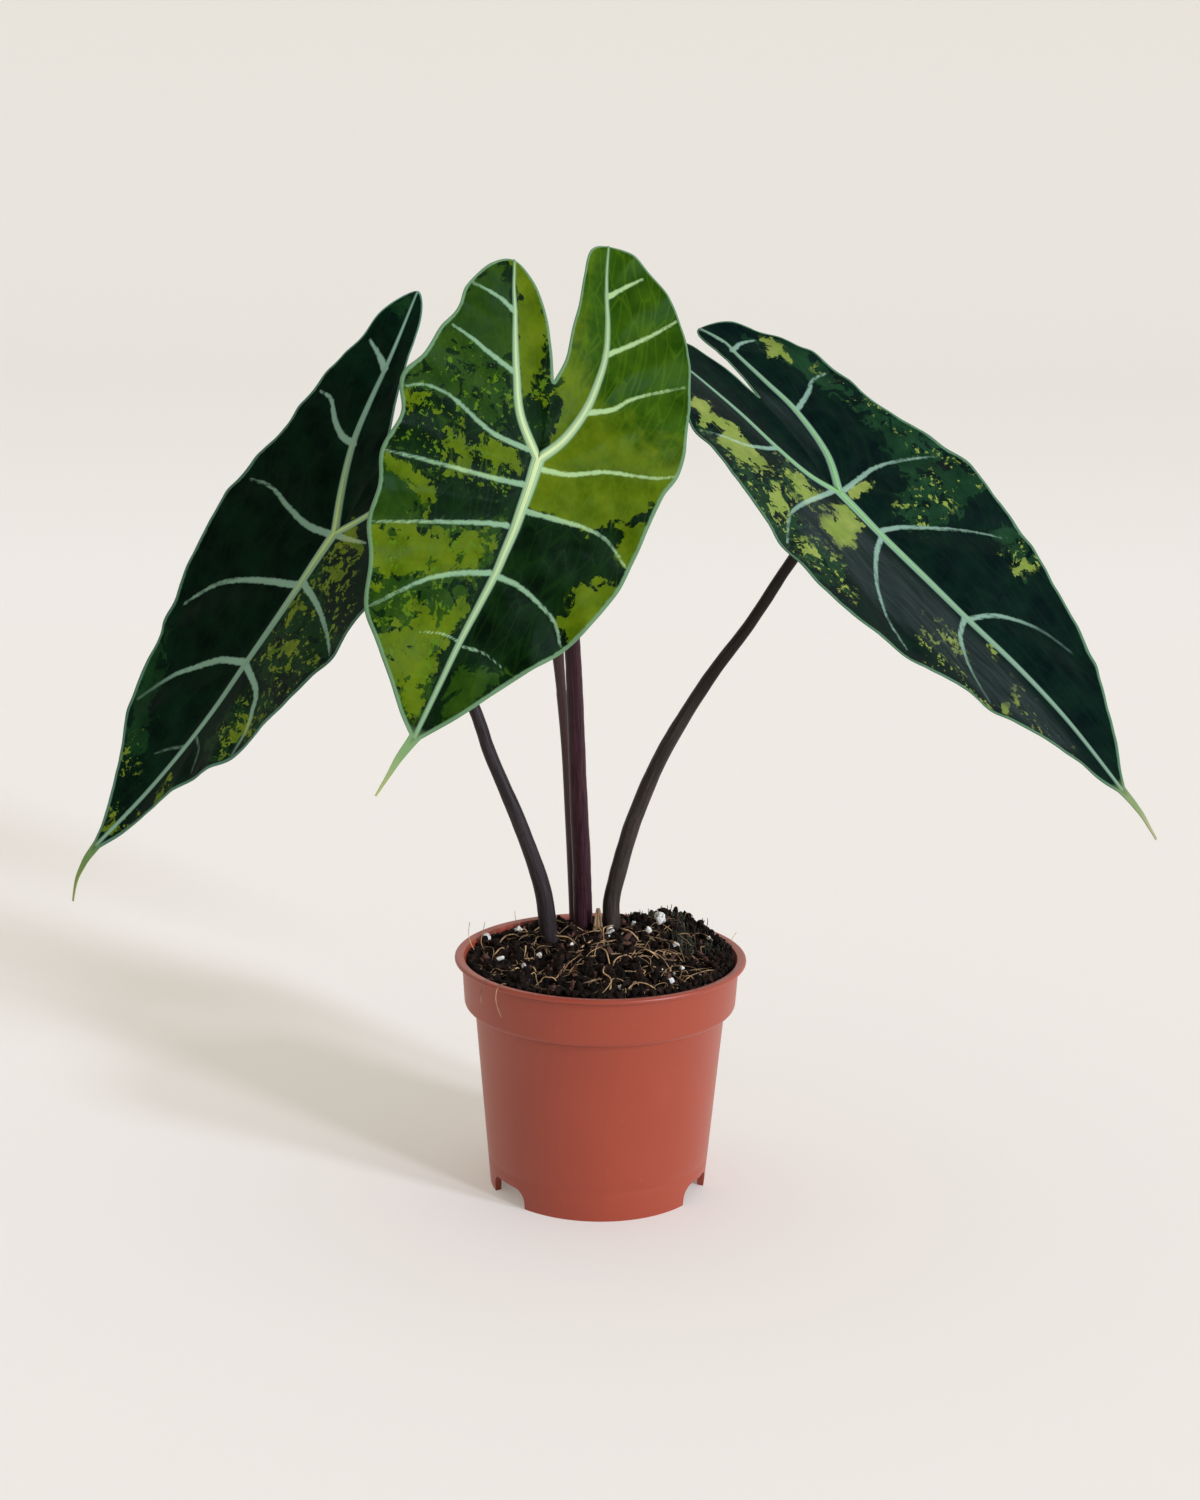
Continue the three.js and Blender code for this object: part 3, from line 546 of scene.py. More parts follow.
# %% Peat
#
# Peat is almost black and quite matte, with brown crumbs 1.6 mm wide and darker patches.
peat, tree = new_material("moist peat")
place = add(tree, "TexCoord").outputs["Object"]
crumbs = add(tree, "TexVoronoi", place, Scale=1 / 0.0016)
patches = add(tree, "TexNoise", place, Scale=1 / 0.007, Detail=5, Roughness=0.7)
shades = add(tree, "ValToRGB", patches)
for stop, code in ((0.35, "#0a0705"), (0.5, "#18110d"), (0.64, "#30221a")):
    shades.color_ramp.elements.new(stop).color = colour(code)
shades.color_ramp.elements[0].color = colour("#070504")
shades.color_ramp.elements[-1].color = colour("#4c382a")
grit = add(tree, "TexNoise", place, Scale=1 / 0.0009, Detail=4, Roughness=0.75)
height = add(tree, "Math", grit, 0.6, crumbs, operation="MULTIPLY_ADD")
bump = add(tree, "Bump", Height=height, Strength=0.9, Distance=0.0006)
add(tree, "OutputMaterial", add(
    tree, "BsdfPrincipled", Base_Color=shades, Roughness=0.88, Specular_IOR_Level=0.1, Normal=bump))

# %% Perlite, coir, bark and moss


def cloudy_stuff(name, patch, detail, dark, pale, limits=(0, 1), relief=None, **skin):
    """A rough natural stuff in two colours, whose patches are so many metres wide. Limits are the
    shares of noise at which each colour is pure. Relief is a second texture: its node's kind,
    detail and grain, and the bump's depth and strength."""
    material, tree = new_material(name)
    place = add(tree, "TexCoord").outputs["Object"]
    patches = add(tree, "TexNoise", place, Scale=1 / patch, Detail=detail)
    share = add(tree, "MapRange", patches, *limits)
    skin["Base_Color"] = add(tree, "Mix", share, dark, pale, data_type="RGBA")
    if relief:
        kind, fineness, grain, depth, strength = relief
        pits = add(tree, kind, place, Scale=1 / grain, Detail=fineness)
        skin["Normal"] = add(tree, "Bump", Height=pits, Strength=strength, Distance=depth)
    add(tree, "OutputMaterial", add(tree, "BsdfPrincipled", **skin))
    return material


# Perlite is expanded volcanic glass: chalk white and full of tiny bubbles, with a dusting of peat
perlite_stuff = cloudy_stuff(
    "expanded perlite", 0.0014, 3, "#dfddd3", "#a0988b", (0.5, 0.75),
    ("TexVoronoi", 0, 0.0004, 0.0002, 0.6), Roughness=0.8, Subsurface_Weight=0.15, Subsurface_Scale=0.0008)
# Coir is the tan hair of coconut husk, dark brown where it is wet
coir = cloudy_stuff("coir fibre", 0.006, 3, "#2a1a10", "#d0a874", (0.36, 0.64), Roughness=0.6)
# Bark chips are reddish brown, with paler patches and a grain of 0.4 mm
bark = cloudy_stuff("composted bark", 0.003, 4, "#1c0f0b", "#6b3f2c",
                    relief=("TexNoise", 3, 0.0004, 0.0003, 0.7), Roughness=0.8)
# Moss here is dark and spiky, with short shoots of a dull green
moss_stuff = cloudy_stuff("cushion moss", 0.002, 2, "#0e120a", "#333a22", Roughness=0.7)

# %% The bed of peat
BED_SIDES = 300
BED_RINGS = 96
WALL_RINGS = 8

bm = bmesh.new()
floor_radius = body_radius(FLOOR_TOP) - POT_WALL - GAP
below = [
    (0, FLOOR_TOP + GAP), (floor_radius, FLOOR_TOP + GAP), (48, 60), (BODY_TOP_RADIUS - 1.8, BAND_BOTTOM),
    (BAND_RADIUS_LOW - 1.8, BAND_BOTTOM + 4), *((SOIL_RADIUS, SOIL_EDGE - depth) for depth in (5, 3, 2)),
]


def settle_soil(point, column, row):
    """Rings go up the plug's side first, and then in over its top to the middle."""
    angle = 2 * math.pi * column / BED_SIDES
    if row < WALL_RINGS:
        radius, level = below[row]
        point.co = (*polar(radius, angle), level)
        return
    share = 1 - (row - WALL_RINGS) / (BED_RINGS - WALL_RINGS)
    point.co = lying(*polar(SOIL_RADIUS * share, angle), -1.6 * float(smooth(share, 0.96, 1)))


mapped_grid(bm, BED_SIDES, BED_RINGS, settle_soil)
bmesh.ops.remove_doubles(bm, verts=bm.verts, dist=1e-3)
bmesh.ops.recalc_face_normals(bm, faces=bm.faces)
new_piece(bm, "peat_bed", [peat], "peat_mix", "soil")

# %% Lumps of any stuff


def pour(small, bm):
    """Adds a small model to a large one. Operators slow down as a model grows, so each bit of soil
    is made alone and then added."""
    scrap = bpy.data.meshes.new("scrap")
    small.to_mesh(scrap)
    small.free()
    bm.from_mesh(scrap)
    bpy.data.meshes.remove(scrap)


def lump(bm, place, size, stretch, steps, roughness):
    """An uneven lump at a place, of a size across, scaled by stretch and turned any way."""
    turn = Euler([chance.uniform(0, 2 * math.pi) for _ in range(3)])
    one = bmesh.new()
    bmesh.ops.create_icosphere(one, subdivisions=steps, radius=size / 2)
    seed = Vector([chance.uniform(0, 90) for _ in range(3)])
    for point in one.verts:
        point.co *= 1 + roughness * noise.noise(point.co * (2.4 / size) + seed)
    matrix = Matrix.LocRotScale(place, turn, Vector(stretch))
    bmesh.ops.transform(one, matrix=matrix, space=Matrix(), verts=one.verts)
    pour(one, bm)


def on_soil():
    """A random place on the soil, away from the pot's wall."""
    angle, radius = chance.uniform(0, 2 * math.pi), (SOIL_RADIUS - 2) * math.sqrt(chance.random())
    return lying(*polar(radius, angle))


def strew(bm, count, size_of, lift_of, stretch, steps, roughness):
    """Strews lumps over the soil. size_of() picks a size, and lift_of(size) raises the lump."""
    for _ in range(count):
        size = size_of()
        lump(bm, on_soil() + Vector((0, 0, lift_of(size))), size, stretch, steps, roughness)


# %% Crumbs and chips
WALL_CRUMBS = 300

bm = bmesh.new()
strew(bm, 900, lambda: chance.choice((0.9, 1.2, 1.8, 2.6, 4.2)), lambda size: 0.15 * size,
      (1, 0.85, 0.7), 2, 0.9)
strew(bm, 70, lambda: chance.uniform(4, 7.5), lambda size: 0.1 * size, (1, 0.8, 0.6), 3, 0.9)
# Crumbs lie close together along the pot's wall
for step in range(WALL_CRUMBS):
    angle = 2 * math.pi * step / WALL_CRUMBS + chance.uniform(-0.01, 0.01)
    size = chance.uniform(1.8, 3.4)
    reach = SOIL_RADIUS - 0.42 * size - (step % 3) * chance.uniform(0.4, 1.6)
    x, y = polar(reach, angle)
    lump(bm, Vector((x, y, soil_height(x, y) + chance.uniform(0, 0.9))), size, (1, 0.8, 0.7), 2, 0.8)
new_piece(bm, "peat_crumbs", [peat], "peat_mix")

bm = bmesh.new()
strew(bm, 150, lambda: chance.uniform(2, 6), lambda size: 0.4, (1, 0.5, 0.25), 2, 0.6)
new_piece(bm, "bark_chips", [bark], "peat_mix")

# %% Perlite: the grains that show in front, and fine ones anywhere
PERLITE = (
    (-48, 21, 3.7), (-35, 34, 2.9), (-41, -8, 2.9), (-31, -14, 1.8), (-25, -6, 2.0), (-12, 0, 1.7),
    (4, 16, 2.9), (25, 28, 4.1), (14, 27, 2.0), (20, 20, 2.4), (31, 7, 2.4), (33, -16, 1.8),
    (49, -3, 2.4), (46, 20, 2.0), (28, -33, 2.4), (8, -40, 1.8),
)
bm = bmesh.new()
for x, y, size in PERLITE:
    lump(bm, resting(x, y, 0.35 * size), 1.25 * size, (1, 0.9, 0.85), 3, 0.7)
strew(bm, 45, lambda: chance.choice((0.5, 0.7, 0.9, 1.3)), lambda size: 0.2 * size, (1, 0.9, 0.8), 2, 0.7)
new_piece(bm, "perlite", [perlite_stuff], "peat_mix")

# %% Coir fibres: the long ones in front, hairs at the rim, and short ones anywhere
FIBRES = (
    ((-3, 8), (-7, 0), (-11, -11), (-15, -20), (-18, -29)),
    ((-30, -13), (-27, -17), (-24, -30)),
    ((6, -20), (9, -13), (18, -8), (25, -7)),
    ((22, -18), (18, -25), (13, -36)),
    ((-46, -12), (-37, -21), (-33, -30)),
    ((3, -31), (6, -17), (13, -4)),
    ((30, 14), (26, -4), (34, -13)),
)
HAIRS = (
    ((-40, -30, 95), (-44, -35.5, 98.2), (-46.3, -38.6, 97.4), (-47, -39.5, 92), (-46.5, -39.2, 87)),
    ((-34, -36, 95), (-38, -41.5, 98.2), (-40.4, -45.4, 97), (-40.6, -46.6, 92), (-38.5, -47, 86)),
    ((-50, 6, 94), (-53.5, 8, 98), (-55, 9, 103), (-54.5, 9, 108)),
    ((-48, 12, 94), (-50, 13, 98), (-49.2, 14, 103), (-48.4, 14, 107)),
    ((-36, 34, 94), (-36.4, 35, 100), (-37, 36, 105)),
    ((52, 8, 95), (54, 9, 99), (54.6, 9.5, 102), (56.5, 10, 105)),
    ((20, 30, 99), (21, 31, 103), (23, 31.5, 107)),
)
BURIED = Vector((0, 0, 1.4))


def fibre(bm, route, radius, sides, rings):
    """A hair of coir that thins out along its route."""
    one = bmesh.new()
    tube(one, route, lambda share: radius * (1 - 0.45 * share), sides, rings)
    close_up(one)
    pour(one, bm)


bm = bmesh.new()
for points in FIBRES:
    route = [resting(x, y, 0.5) for x, y in points]
    route[0] -= BURIED
    route[-1] -= BURIED
    fibre(bm, route, 0.42, 8, 28)
for points in HAIRS:
    fibre(bm, points, 0.17, 6, 30)
for _ in range(260):
    spot = on_soil()
    heading, length = chance.uniform(0, 2 * math.pi), chance.choice((6, 9, 13, 18, 26))
    rise = chance.choice((0.3, 0.5, 1.2, 3))
    route = [spot - Vector((0, 0, 0.5))]
    for lift in (0.7, 1, 0.8, -0.4):
        heading += chance.gauss(0, 0.4)
        x, y = route[-1].xy + Vector(polar(length / 4, heading))
        if math.hypot(x, y) > SOIL_RADIUS - 1:
            x, y = route[-1].xy
        route.append(resting(x, y, rise * lift))
    fibre(bm, route, chance.choice((0.11, 0.16, 0.24, 0.36)), 5, 14)
new_piece(bm, "coir_fibres", [coir], "peat_mix")

# %% Moss, on the mound at the back right
bm = bmesh.new()
for _ in range(300):
    angle, radius = math.radians(chance.uniform(2, 78)), chance.uniform(32, SOIL_RADIUS - 1)
    foot = lying(*polar(radius, angle), -0.3)
    tip = foot + Vector((chance.gauss(0, 1.1), chance.gauss(0, 1.1), chance.uniform(1.6, 4.8)))
    fibre(bm, [foot, (foot + tip) / 2 + Vector((0.3, 0, 0)), tip], 0.24, 5, 5)
new_piece(bm, "moss", [moss_stuff], "peat_mix")

# %% [markdown]
# ## The leaves' measures
#
# A blade is drawn flat in its own frame, in millimetres: "along" runs from the joint with the
# stalk towards the tip, "across" to one side. The frame is then turned into place by an azimuth,
# a dip and a roll. Each half has a lobe vein, a margin and an inner edge, which are the same
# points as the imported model's. Side veins are drawn here as they run on the real leaf, and so
# are the patches where the leaf lacks its dark green.

# %% The centre leaf
CENTRE = {
    "name": "centre", "junction": (-26, -45, 303), "azimuth": -131, "dip": 58, "roll": -57, "fold": 4,
    "tip_drop": 14, "lobe_drop": 10, "rib_width": 5.0, "vein_width": 2.2,
    "midrib": [(0, 0), (5.5, -0.5), (11, -1), (19.5, -1.5), (28, -2), (37.5, -2), (47, -2), (61, -1),
        (75, 0), (94, 0.5), (113, 1)],
    "tail": [(122, 3), (130, 4), (138, 5)],
    "halves": [
        {"side": 1,
         "lobe_vein": [(-57, 33.5), (-48, 29.5), (-37, 25), (-26, 20), (-12, 12.5)],
         "margin": [(-67, 37), (-60, 45), (-48, 50), (-37, 50), (-28, 53), (-15, 55), (-4, 59), (9, 54),
             (24, 55), (37, 51), (50, 49), (63, 43), (79, 37), (91, 26), (100, 17), (107, 10), (113, 3)],
         "inner": [(-62, 27), (-52, 18), (-41, 11.5), (-30, 6)]},
        {"side": -1,
         "lobe_vein": [(-82, -2), (-72, 1.5), (-62, 5.5), (-50, 9), (-38, 10), (-25, 9.5), (-11, 6)],
         "margin": [(-93, -5), (-94, 5), (-90, 15), (-84, 24), (-78, 31), (-66, 38), (-54, 44), (-37, 48),
             (-20, 52), (-8, 49), (6, 48), (24, 48), (36, 46), (49, 42), (62, 37), (74, 28), (86, 20),
             (100, 11), (113, 1.5)],
         "inner": [(-87, -11), (-75, -10), (-64, -8), (-53, -7), (-41, -5), (-30, -6)]},
    ],
    "side_veins": [
        [(-48, 30), (-50, 38), (-50, 48)],
        [(-26, 20), (-28, 32), (-30, 41), (-31, 49)],
        [(-2, 4), (-1, 12), (-1, 21), (-4, 32), (-6, 41), (-5, 50), (-1, 56)],
        [(11, 1), (14, 11), (18, 29), (22, 46), (24, 54)],
        [(28, 1), (32, 11), (41, 30), (50, 48)],
        [(47, 0), (52, 10), (59, 20), (68, 28), (78, 36)],
        [(-73, -2), (-79, -6), (-87, -12)],
        [(-50, -9), (-59, -17), (-68, -24), (-77, -30)],
        [(-25, -10), (-31, -19), (-39, -25), (-53, -42)],
        [(3, -2), (0, -13), (-7, -25), (-13, -42), (-18, -51)],
        [(20, -3), (18, -15), (16, -27), (17, -36), (23, -46)],
        [(47, -3), (47, -12), (50, -22), (54, -30), (61, -35)],
    ],
    "fine_veins": [
        [(75, 0), (75, 7), (78, 15)],
        [(76, -2), (75, -10), (77, -18)],
    ],
    "lime": [
        # the inner strip of the left lobe
        [(-66, 41), (-62, 34), (-50, 29), (-40, 25), (-28, 20), (-17, 14), (-21, 12), (-30, 13), (-43, 13),
         (-52, 17), (-60, 23), (-67, 32)],
        # the whole right lobe and half, down to its third side vein
        [(2, 1), (18, -3), (17, -26), (11, -36), (3, -43), (-6, -48), (-8, -56), (-22, -58), (-40, -53),
         (-60, -46), (-82, -36), (-97, -20), (-100, 0), (-92, 12), (-75, 14), (-60, 12), (-44, 8), (-36, 7),
         (-31, 4), (-22, -1), (-10, -3)],
        # the right margin, below the dark wedge and below the third side vein
        [(-1, -52), (22, -52), (25, -47), (21, -41), (13, -39), (5, -45)],
        [(29, -50), (31, -43), (36, -33), (43, -30), (49, -33), (54, -30), (57, -38), (48, -48)],
        # ragged patches between the side veins of the left half
        [(-1, 57), (1, 50), (2, 42), (6, 37), (13, 32), (18, 29), (19, 24), (15, 22), (10, 27), (5, 31),
         (3, 40), (4, 48), (4, 56)],
        [(1, 20), (7, 21), (15, 20), (14, 12), (8, 10), (6, 4), (2, 5)],
        [(24, 54), (25, 45), (24, 38), (29, 33), (36, 30), (41, 30), (36, 34), (31, 38), (31, 46), (28, 53)],
        [(34, 2), (44, 2), (47, 6), (52, 13), (58, 20), (61, 27), (64, 36), (66, 42), (52, 49), (47, 42),
         (43, 33), (40, 22), (37, 12)],
        [(63, 2), (68, 14), (78, 24), (88, 28), (97, 20), (106, 10), (108, 3), (96, 3), (80, 8), (70, 3)],
    ],
    "mid": [
        [(-66, 42), (-60, 47), (-50, 51), (-30, 54), (-6, 60), (-1, 56), (-5, 44), (-1, 20), (-12, 15),
         (-28, 21), (-48, 31), (-60, 37)],
        [(23, 55), (26, 44), (32, 33), (44, 31), (52, 49), (38, 54)],
        [(26, 2), (44, 36), (52, 50), (80, 38), (100, 18), (112, 4), (90, 3), (60, 3)],
        [(84, -4), (96, -3), (106, -6), (90, -18), (78, -20)],
    ],
    "shaded": [
        [(-104, -8), (-98, -26), (-80, -40), (-50, -56), (-30, -56), (-24, -44), (-30, -16), (-44, 2),
         (-70, 10), (-96, 14)],
    ],
    # Where a grey sheen is painted: a reflection of the light, painted into the colour.
    "painted_sheen": [
        [(-60, 36), (-50, 30), (-40, 32), (-46, 44)],
    ],
    "speckled": [
        [(-30, 20), (-30, 48), (0, 56), (24, 53), (22, 4), (0, 4), (-12, 14)],
        [(26, 3), (40, 24), (54, 48), (82, 36), (104, 14), (108, 3)],
        [(-34, 12), (-30, 4), (-6, 2), (-6, 7), (-18, 13)],
    ],
}

# %% The left leaf
LEFT = {
    "name": "left", "junction": (-108, 5, 269), "azimuth": -167, "dip": 52, "roll": -37, "fold": 11,
    "tip_drop": 8, "lobe_drop": 8, "rib_width": 4.6, "vein_width": 3.2,
    "midrib": [(0, 0), (14, -1), (26, -2), (44, -3), (62, -3.5), (83, -4), (104, -2.5), (130, 1.5),
        (159, 8)],
    "tail": [(168, 8.5), (176, 7), (183, 3)],
    "halves": [
        {"side": 1,
         "lobe_vein": [(-81, 38), (-66, 32), (-50, 26.5), (-33, 20), (-15, 10)],
         "margin": [(-99, 46), (-90, 50), (-74, 51), (-58, 50), (-43, 52), (-20, 49), (5, 53), (30, 50),
             (66, 42), (78, 37), (104, 33.5), (114, 27), (124, 21), (140, 14), (158, 10)],
         "inner": [(-90, 35), (-71, 24.5), (-52, 13), (-34, 1)]},
        {"side": -1,
         "lobe_vein": [(-77, 36), (-62, 30), (-46, 24.5), (-30, 18), (-14, 9.5)],
         "margin": [(-93, 43), (-86, 48), (-70, 50), (-54, 49), (-38, 50), (-17, 47), (3, 49), (20, 46.5),
             (41, 46), (66, 40.5), (90, 33), (105, 23), (116, 15), (136, 6), (159, -6)],
         "inner": [(-84, 32.5), (-67, 22.5), (-50, 11), (-34, -1)]},
    ],
    "side_veins": [
        [(-65, 32), (-68, 38), (-71, 47)],
        [(-33, 20), (-33, 27), (-37, 35), (-42, 42), (-42, 49)],
        [(1, 1), (4, 13), (3, 26), (1, 38), (4, 49)],
        [(25, -1), (32, 13), (39, 24), (47, 32), (61, 39)],
        [(62, -3), (68, 8), (77, 16), (86, 23), (103, 31)],
        [(0, -1), (-2, -10), (-5, -20)],
        [(23, -3), (26, -19), (31, -33), (37, -44)],
        [(63, -5), (67, -19), (74, -25), (82, -29), (93, -30)],
    ],
    "fine_veins": [
        [(104, -2), (109, 4), (115, 9)],
        [(98, -5), (101, -11), (110, -15)],
    ],
    "lime": [
        [(-9, -4), (-5, -14), (-3, -22), (1, -21), (0, -10), (0, -4)],
        [(46, -17), (44, -25), (48, -26), (52, -22), (51, -17)],
        [(118, -5), (119, -11), (123, -9), (123, -5)],
        [(76, -28), (84, -20), (89, -20), (85, -27), (80, -31)],
        [(10, -14), (6, -17), (14, -21), (16, -16)],
        [(32, -5), (36, -4), (36, -11), (32, -12)],
        [(146, 9), (148, 11), (151, 8), (148, 6)],
    ],
    "mid": [
        [(-100, 50), (-88, 52), (-84, 44), (-92, 42)],
        [(4, -4), (20, -10), (30, -44), (62, -42), (62, -8), (36, -4)],
        [(66, -18), (96, -12), (104, -20), (88, -34), (64, -42), (62, -30)],
        [(70, 40), (100, 34), (122, 20), (116, 14), (92, 26), (74, 34)],
    ],
    "shaded": [
        [(96, 36), (122, 24), (124, 12), (96, 24)],
    ],
    # Where a grey sheen is painted: a reflection of the light, painted into the colour.
    "painted_sheen": [
        [(36, 22), (46, 26), (50, 18), (42, 14)],
        [(-14, -10), (-28, -16), (-30, -26), (-16, -24)],
    ],
    "speckled": [
        [(0, -4), (4, -26), (18, -44), (40, -47), (64, -42), (64, -7), (30, -4), (12, -3)],
        [(66, -18), (64, -40), (88, -34), (98, -26), (94, -16), (78, -12)],
        [(108, 18), (120, 23), (140, 15), (154, 10), (154, 2), (140, -4), (122, -12), (116, -6), (130, 0),
         (132, 6), (118, 12)],
    ],
}

# %% The right leaf
RIGHT = {
    "name": "right", "junction": (93, 15, 287), "azimuth": -29, "dip": 42, "roll": 21, "fold": 10,
    "tip_drop": 4, "lobe_drop": 6, "rib_width": 4.4, "vein_width": 2.4,
    "midrib": [(0, 0), (12, -0.5), (24, -1), (48, -3), (72, -5), (100, -8), (128, -9), (161, -7)],
    "tail": [(168, -7), (177, -6), (184, -4)],
    "halves": [
        {"side": 1,
         "lobe_vein": [(-84, 14.5), (-69, 13), (-50, 11), (-30, 10), (-13, 7)],
         "margin": [(-97, 13), (-93, 23), (-80, 31), (-66, 36.5), (-52, 43), (-22, 49.5), (13, 56.5),
             (42, 55.5), (75, 43.5), (93, 31), (112, 21), (128, 10), (142, 3), (161, -5)],
         "inner": [(-91, 3), (-78, -1.5), (-66, -3), (-53, -4)]},
        {"side": -1,
         "lobe_vein": [(-84, 14.5), (-74, 14), (-58, 14), (-40, 14), (-17, 9.5)],
         "margin": [(-95, 11), (-91, 22), (-80, 31), (-65, 38.5), (-51, 44), (-22, 46), (14, 59), (38, 57),
             (60, 54.5), (86, 47), (113, 39), (133, 27), (149, 17), (161, 9)],
         "inner": [(-88, 7.5), (-76, 8), (-64, 6.5), (-53, 4)]},
    ],
    "side_veins": [
        [(-78, -14), (-79, -20), (-77, -27)],
        [(-40, -14), (-44, -25), (-48, -32), (-48, -40)],
        [(0, -3), (-1, -15), (-1, -24), (3, -38), (10, -53)],
        [(22, -1), (25, -10), (31, -20), (41, -34), (54, -49)],
        [(72, -5), (76, -15), (83, -23), (94, -30), (108, -34)],
        [(-29, 10), (-31, 17), (-36, 26), (-44, 34), (-50, 44)],
        [(-2, 3), (-2, 21), (-1, 32), (2, 40), (11, 52)],
        [(25, 0), (30, 10), (39, 22), (48, 30), (58, 36), (70, 39)],
        [(71, -4), (76, 5), (83, 11), (92, 16), (105, 20)],
    ],
    "fine_veins": [
        [(-84, -14), (-91, -12), (-95, -10)],
    ],
    "lime": [
        [(-66, 28), (-62, 33), (-52, 36), (-46, 31), (-40, 37), (-30, 39), (-23, 31), (-22, 25), (-30, 22),
         (-42, 23), (-50, 26), (-57, 26)],
        [(-14, 12), (-18, 16), (-12, 22), (-7, 27), (-1, 22), (-2, 12)],
        [(5, 2), (4, 9), (8, 14), (7, 24), (13, 29), (22, 27), (24, 20), (19, 10), (17, 3)],
        [(-13, 31), (-11, 38), (-4, 43), (1, 41), (-5, 34)],
        [(-77, -30), (-73, -26), (-68, -26), (-60, -30), (-68, -33)],
        [(1, -4), (1, -14), (4, -16), (5, -8), (4, -3)],
        [(72, 13), (76, 8), (80, 14), (78, 17)],
        [(84, -6), (90, -5), (91, -1), (86, -3)],
        [(65, -39), (69, -38), (72, -47), (66, -48)],
        [(12, 45), (16, 51), (24, 50), (22, 46)],
        [(108, 14), (107, 18), (112, 19), (112, 16)],
    ],
    "mid": [
        [(-60, 38), (-30, 48), (10, 56), (40, 54), (36, 36), (10, 34), (-20, 34)],
        [(-20, 10), (-24, 24), (-4, 32), (4, 22), (-4, 10)],
        [(-80, -24), (-50, -30), (-20, -36), (10, -30), (20, -14), (30, -14), (34, -38), (30, -58), (0, -58),
         (-40, -46), (-70, -38)],
        [(46, -44), (52, -56), (74, -54), (72, -38)],
    ],
    "shaded": [
        [(-40, 14), (-24, 12), (-8, 26), (-16, 30), (-36, 22)],
    ],
    # Where a grey sheen is painted: a reflection of the light, painted into the colour.
    "painted_sheen": [
        [(-92, 12), (-78, 18), (-50, 16), (-28, 14), (-16, 18), (10, 44), (26, 40), (60, 34), (104, 22),
         (136, 8), (140, -4), (100, -6), (60, -2), (30, 4), (12, 6), (-20, 11), (-60, 13)],
        [(-58, -8), (-44, -13), (-20, -12), (-10, -7), (-30, -6), (-48, -4)],
    ],
    "speckled": [
        [(-56, 38), (-30, 48), (0, 53), (30, 54), (48, 50), (38, 38), (26, 32), (10, 34), (-20, 26),
         (-40, 40)],
        [(60, 12), (72, 4), (92, 14), (114, 22), (106, 30), (88, 36), (72, 42), (66, 26)],
        [(-30, 12), (-24, 26), (4, 34), (6, 20), (0, 8), (-16, 9)],
        [(100, -4), (136, -2), (140, 5), (118, 14), (106, 8)],
        [(-62, -36), (-30, -36), (-2, -44), (16, -30), (16, -14), (34, -16), (32, -36), (32, -58), (6, -58),
         (-30, -47)],
        [(58, -38), (72, -40), (72, -54), (54, -56)],
    ],
}
LEAVES = (CENTRE, LEFT, RIGHT)

# %% [markdown]
# ## The blades
#
# A blade is a sheet 0.8 mm thick with real relief. Its midrib and veins stand a little out of the
# upper face and more out of the lower one, the web between them is quilted, and the margin waves
# from vein to vein. Each half is two grids, one from the ribs out to the margin and one on the
# lobe's inner side, whose rows run from rib to edge. The grids are merged at the ribs. Then the
# distances from each point to the veins, to the margin and to the patches are kept as attributes
# in millimetres, because a distance stays sharp where a painted colour would blur. Last, Solidify
# gives the sheet its thickness, and a vertex group makes that thicker under the veins.

# %% The blades' shared sizes
BLADE_THICKNESS = 0.8
RIB_ABOVE = 0.5
RIB_BELOW = 1.5
VEIN_ABOVE = 0.3
VEIN_BELOW = 0.5
QUILT = 1.3
QUILT_REACH = 11
EDGE_WAVE = 0.9
ROW_LENGTH = 11
ROW_BOW = 0.12
ROWS_PER_STEP = 15
OUTER_COLUMNS = 58
INNER_COLUMNS = 20
THICKEST = BLADE_THICKNESS + RIB_ABOVE + RIB_BELOW
TIP_END = 0.35
FAR = 30
PATCHES = ("lime", "mid", "shaded", "painted_sheen", "speckled")

# %% The rows of one half


def half_ends(leaf, half):
    """A function that gives, for a row, its place on the ribs, at the margin and at the inner
    edge. Rows count from the lobe's tip, past the joint, to the end of the drip tip."""
    inner, margin, midrib, tail = half["inner"], half["margin"], leaf["midrib"], leaf["tail"]
    lobe_rows = len(half["lobe_vein"]) + 1
    tip_row = lobe_rows + len(midrib) - 1
    vein = [margin[0], *half["lobe_vein"], (0, 0)]
    edge = [*reversed(inner), *margin]
    side = Vector((1, half["side"]))
    end_width = abs(margin[-1][1] - midrib[-1][1] * half["side"])

    @functools.cache
    def ends(t):
        if t <= lobe_rows:
            foot = on_line(vein, t / lobe_rows)
        elif t <= tip_row:
            foot = on_line(midrib, (t - lobe_rows) / (tip_row - lobe_rows)) * side
        else:
            foot = on_line([midrib[-1], *tail], (t - tip_row) / len(tail)) * side
        if t <= tip_row:
            outside = on_line(edge, (len(inner) + t) / (len(edge) - 1))
        else:
            left_over = 1 - (t - tip_row) / len(tail)
            outside = foot + Vector((0, TIP_END + (end_width - TIP_END) * left_over**1.3))
        if t <= len(inner):
            inside = on_line(edge, (len(inner) - t) / (len(edge) - 1))
        else:
            inside = Vector(inner[-1]) * max(lobe_rows - t, 0) / (lobe_rows - len(inner))
        return foot, outside, inside

    return ends, lobe_rows, tip_row


# %% The sheet of one blade, drawn flat


